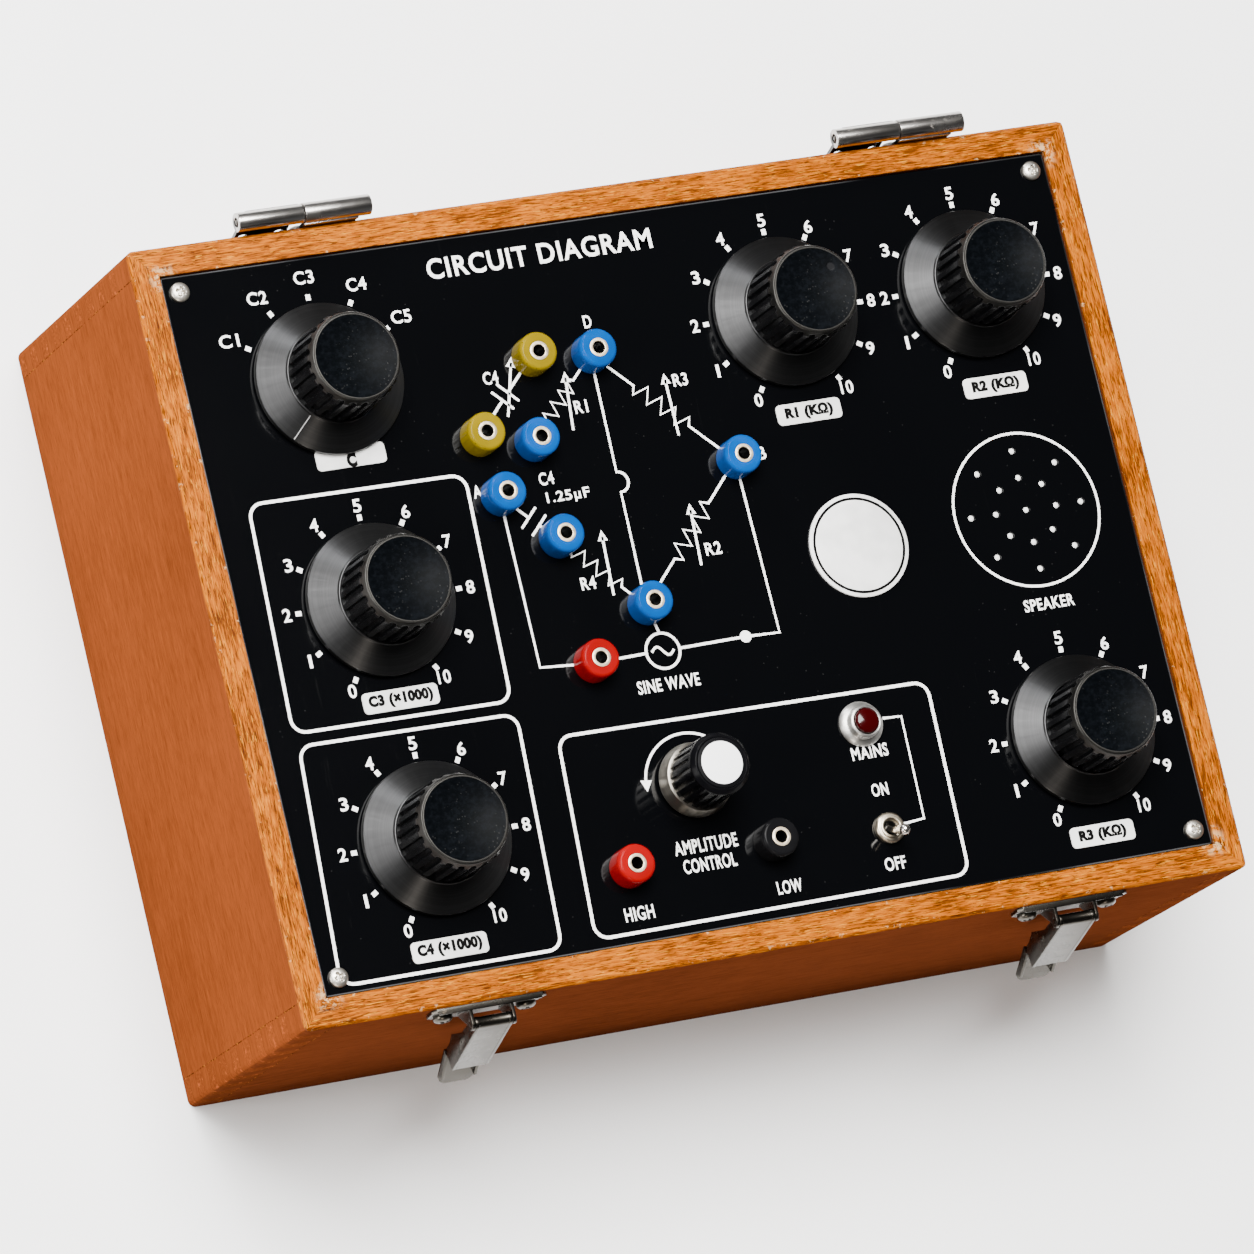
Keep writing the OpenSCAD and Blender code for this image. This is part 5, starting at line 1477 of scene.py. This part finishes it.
class Case:
    """The comb-jointed case, its blocks and the grommet, and what it holds."""

    stained: Colour = (0.152, 0.036, 0.009)
    plain: Colour = (0.5, 0.3, 0.14)

    def build(self) -> None:
        """Dresses the boards."""
        stained, plain = self.stained, self.plain
        for node, name, grain, colour, seed in (
                ("left_wall", "wood_left", Axis.Y, stained, 0.13),
                ("right_wall", "wood_right", Axis.Y, stained, 0.57),
                ("base_board", "wood_base", Axis.X, plain, 0.2),
                ("corner_blocks", "wood_blocks", Axis.X, plain, 0.7)):
            dress(node, Wood(name, grain, colour, seed))
        # Painted shade: the front board's face is darker than the side boards', and its finger ends, seen on the side
        # face, keep the side boards' lighter stain.
        dress("front_wall", Wood("wood_front", Axis.X, (0.09, 0.022, 0.0075), 0.31, stained))
        dress("back_wall", Wood("wood_back", Axis.X, (0.12, 0.028, 0.008), 0.83, stained))
        dress("cord_grommet", Gloss("grommet_rubber", (0.005, 0.005, 0.005), 0.6, mirror=0.1))

    def fill(self) -> None:
        """Dresses the hidden parts."""
        dress("rotary_switches", Gloss("switch_laminate", (0.4, 0.2, 0.06), 0.45))
        dress("panel_nuts", PlatedMetal("plated_nut", (0.74, 0.72, 0.68), 0.26, 0.3))
        dress("potentiometer", PlatedMetal("pot_can", (0.7, 0.69, 0.66), 0.3, 0.3))
        dress("circuit_board", Gloss("board_green", (0.02, 0.16, 0.05), 0.3))
        dress("transformer", PlatedMetal("core_steel", (0.25, 0.25, 0.26), 0.45, 0.5))


@dataclass
class Hardware:
    """Hinges, latches and their screws."""

    latch_x: float = 99.0
    latch_step: float = 13.8
    latch_down: float = 6.5
    hinge_x: float = 101.5
    leaf_mid: float = 9.0
    leaf_step: float = 6.0
    leaf_down: float = 15.0
    pin_r: float = 1.5
    sheet: float = 1.2

    def build(self, screws: ScrewSet) -> None:
        """Dresses the metalwork and sets the wood screws."""
        for node in ("hinge_leaves", "left_lid_leaf", "right_lid_leaf"):
            soften(node, BARREL)
        soften("hinge_pins", NICKEL, 0.12, 1)
        for node in ("latch_plates", "left_latch_lever", "right_latch_lever", "left_latch_hook",
                     "right_latch_hook"):
            soften(node, NICKEL, 0.28, 2)
        dress("latch_pins", NICKEL)
        self.wood_screws(screws)

    def wood_screws(self, screws: ScrewSet) -> None:
        """Screws of the latches' plates and the hinges' leaves."""
        places, turns = [], []
        latch_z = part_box("latch_plates")[1].z / MM - self.latch_down
        leaf_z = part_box("hinge_pins")[1].z / MM - self.pin_r - self.leaf_down
        for side in (-1, 1):
            for end in (-1, 1):
                places.append((side * self.latch_x + end * self.latch_step, -HALF_D - self.sheet, latch_z))
                turns.append((90, 30 * side + 17 * end, 0))
                places.append((side * self.hinge_x + self.leaf_mid + end * self.leaf_step, HALF_D + self.sheet,
                               leaf_z))
                turns.append((-90, 25 * side + 40 * end, 0))
        screws.place("wood_screws_finished", "wood_screws", places, turns)


@dataclass
class Studio:
    """Floor, lights and the camera at the photograph's viewing angle."""

    camera_at: tuple[float, float, float] = (-1234.3, -551.1, 2894.4)
    looks: tuple[float, float, float] = (0.39202, 0.17364, -0.90342)
    roll: float = 54.793
    lens: float = 287.9
    sensor: float = 36.0

    def build(self) -> None:
        """Makes the studio."""
        self.floor()
        self.light("key", (-0.35, 0.75, 2.4), 1.5, 300, (1.0, 0.99, 0.97))
        self.light("back", (-0.75, 2.0, 0.85), 0.5, 36, (0.97, 0.985, 1.0))
        self.light("left", (-2.3, -0.2, 1.1), 0.9, 45, (1.0, 0.98, 0.96))
        self.light("front", (-0.72, -1.5, 1.05), 0.3, 12, (1.0, 0.9, 0.78))
        world = bpy.data.worlds.new("studio")
        world.use_nodes = True
        world.node_tree.nodes.clear()
        graph = Graph(world.node_tree)
        height = graph.split(graph.node("ShaderNodeTexCoord", out="Generated"))[2]
        glow = 0.03 + height.step(0.75, 0.3) * 0.12
        background = graph.node("ShaderNodeBackground", {}, {"Color": (0.95, 0.97, 1.0), "Strength": glow})
        graph.node("ShaderNodeOutputWorld", {}, {"Surface": background})
        bpy.context.scene.world = world
        self.camera()

    def floor(self) -> None:
        """The pale floor."""
        mesh = bmesh.new()
        half = 6.0
        mesh.faces.new([mesh.verts.new((x, y, 0)) for x, y in
                        ((-half, -half), (half, -half), (half, half), (-half, half))])
        piece_from(mesh, "studio_floor", Paper("floor_pale", (0.95, 0.955, 0.965)))

    def light(self, name: str, place: Sequence[float], size: float, power: float, colour: Colour) -> None:
        """One soft area light that faces the object."""
        data = bpy.data.lights.new(name, "AREA")
        data.shape = "SQUARE"
        data.size = size
        data.energy = power
        data.color = colour
        lamp = link(bpy.data.objects.new(name, data))
        lamp.location = place
        lamp.rotation_euler = (Vector((0, 0, 0.05)) - Vector(place)).to_track_quat("-Z", "Y").to_euler()

    def camera(self) -> None:
        """The camera, placed and rolled as in the photograph."""
        data = bpy.data.cameras.new("camera")
        data.sensor_width = self.sensor
        data.lens = self.lens
        data.clip_end = 30
        data.clip_start = 0.1
        forward = Vector(self.looks).normalized()
        level = forward.cross(Vector((0, 0, 1))).normalized()
        above = level.cross(forward)
        roll = math.radians(self.roll)
        right = level * math.cos(roll) + above * math.sin(roll)
        up = right.cross(forward)
        turn = Matrix((right, up, -forward)).transposed().to_4x4()
        holder = link(bpy.data.objects.new("camera", data))
        holder.matrix_world = Matrix.Translation(Vector(self.camera_at) * MM) @ turn
        bpy.context.scene.camera = holder


def dials() -> list[Dial]:
    """The six dials with their scales, their labels' words and those words' places from the dials' axes."""
    plain = tuple(str(i) for i in range(11))
    selector = Dial("c", ("C1", "C2", "C3", "C4", "C5"), first=150.0, plate_text="C", plate_width=3.0,
                    plate_from=(1.7, -25.8), index_at=227.0)
    rows = (("c3", "C3 (×1000)", 19.5, (-0.4, -31.0)), ("c4", "C4 (×1000)", 19.5, (-3.3, -33.5)),
            ("r1", "R1 (KΩ)", 15.0, (0.5, -32.3)), ("r2", "R2 (KΩ)", 15.0, (-0.2, -32.9)),
            ("r3", "R3 (KΩ)", 15.0, (-1.3, -33.1)))
    return [selector] + [Dial(prefix, plain, plate_text=text, plate_width=width, plate_from=place)
                         for prefix, text, width, place in rows]


def label_words(made: Sequence[Dial]) -> list[Word]:
    """The words on the label plates below the dials."""
    return [Word(d.plate_text, d.centre[0] + d.plate_from[0], d.centre[1] + d.plate_from[1],
                 4.6, d.plate_width * 1.09, 0.07) for d in made]


def main() -> None:
    """Builds the classes in order."""
    logging.basicConfig(level=logging.INFO, format="%(name)s: %(message)s")
    Studio().build()
    lines, marks, copies = stroke_shaper(), scale_shaper(), copies_shaper()
    printer = Printer(lines)
    small = ScrewSet(SCREW, PhillipsScrew(), copies)
    large = ScrewSet(SHADED_WOOD_SCREW, PhillipsScrew(head_h=2.4, slot_w=1.05, slot_reach=1.9), copies)
    case = Case()
    case.build()
    ControlPanel().build(printer, small)
    made = dials()
    numbers = [word for dial in made for word in dial.build(marks)]
    printer.words("scale_numbers", numbers, INK_WHITE, PANEL_Z)
    dress("label_plates", PLATE_WHITE)
    plate_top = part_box("label_plates")[1].z / MM
    printer.words("label_words", label_words(made), INK_BLACK, plate_top)
    Badge().build(printer)
    Sockets().build()
    AmplitudeKnob().build()
    LampAndSwitch().build()
    Speaker().build(copies)
    case.fill()
    Hardware().build(large)
    small.clear()
    large.clear()


if __name__ == "__main__":
    main()
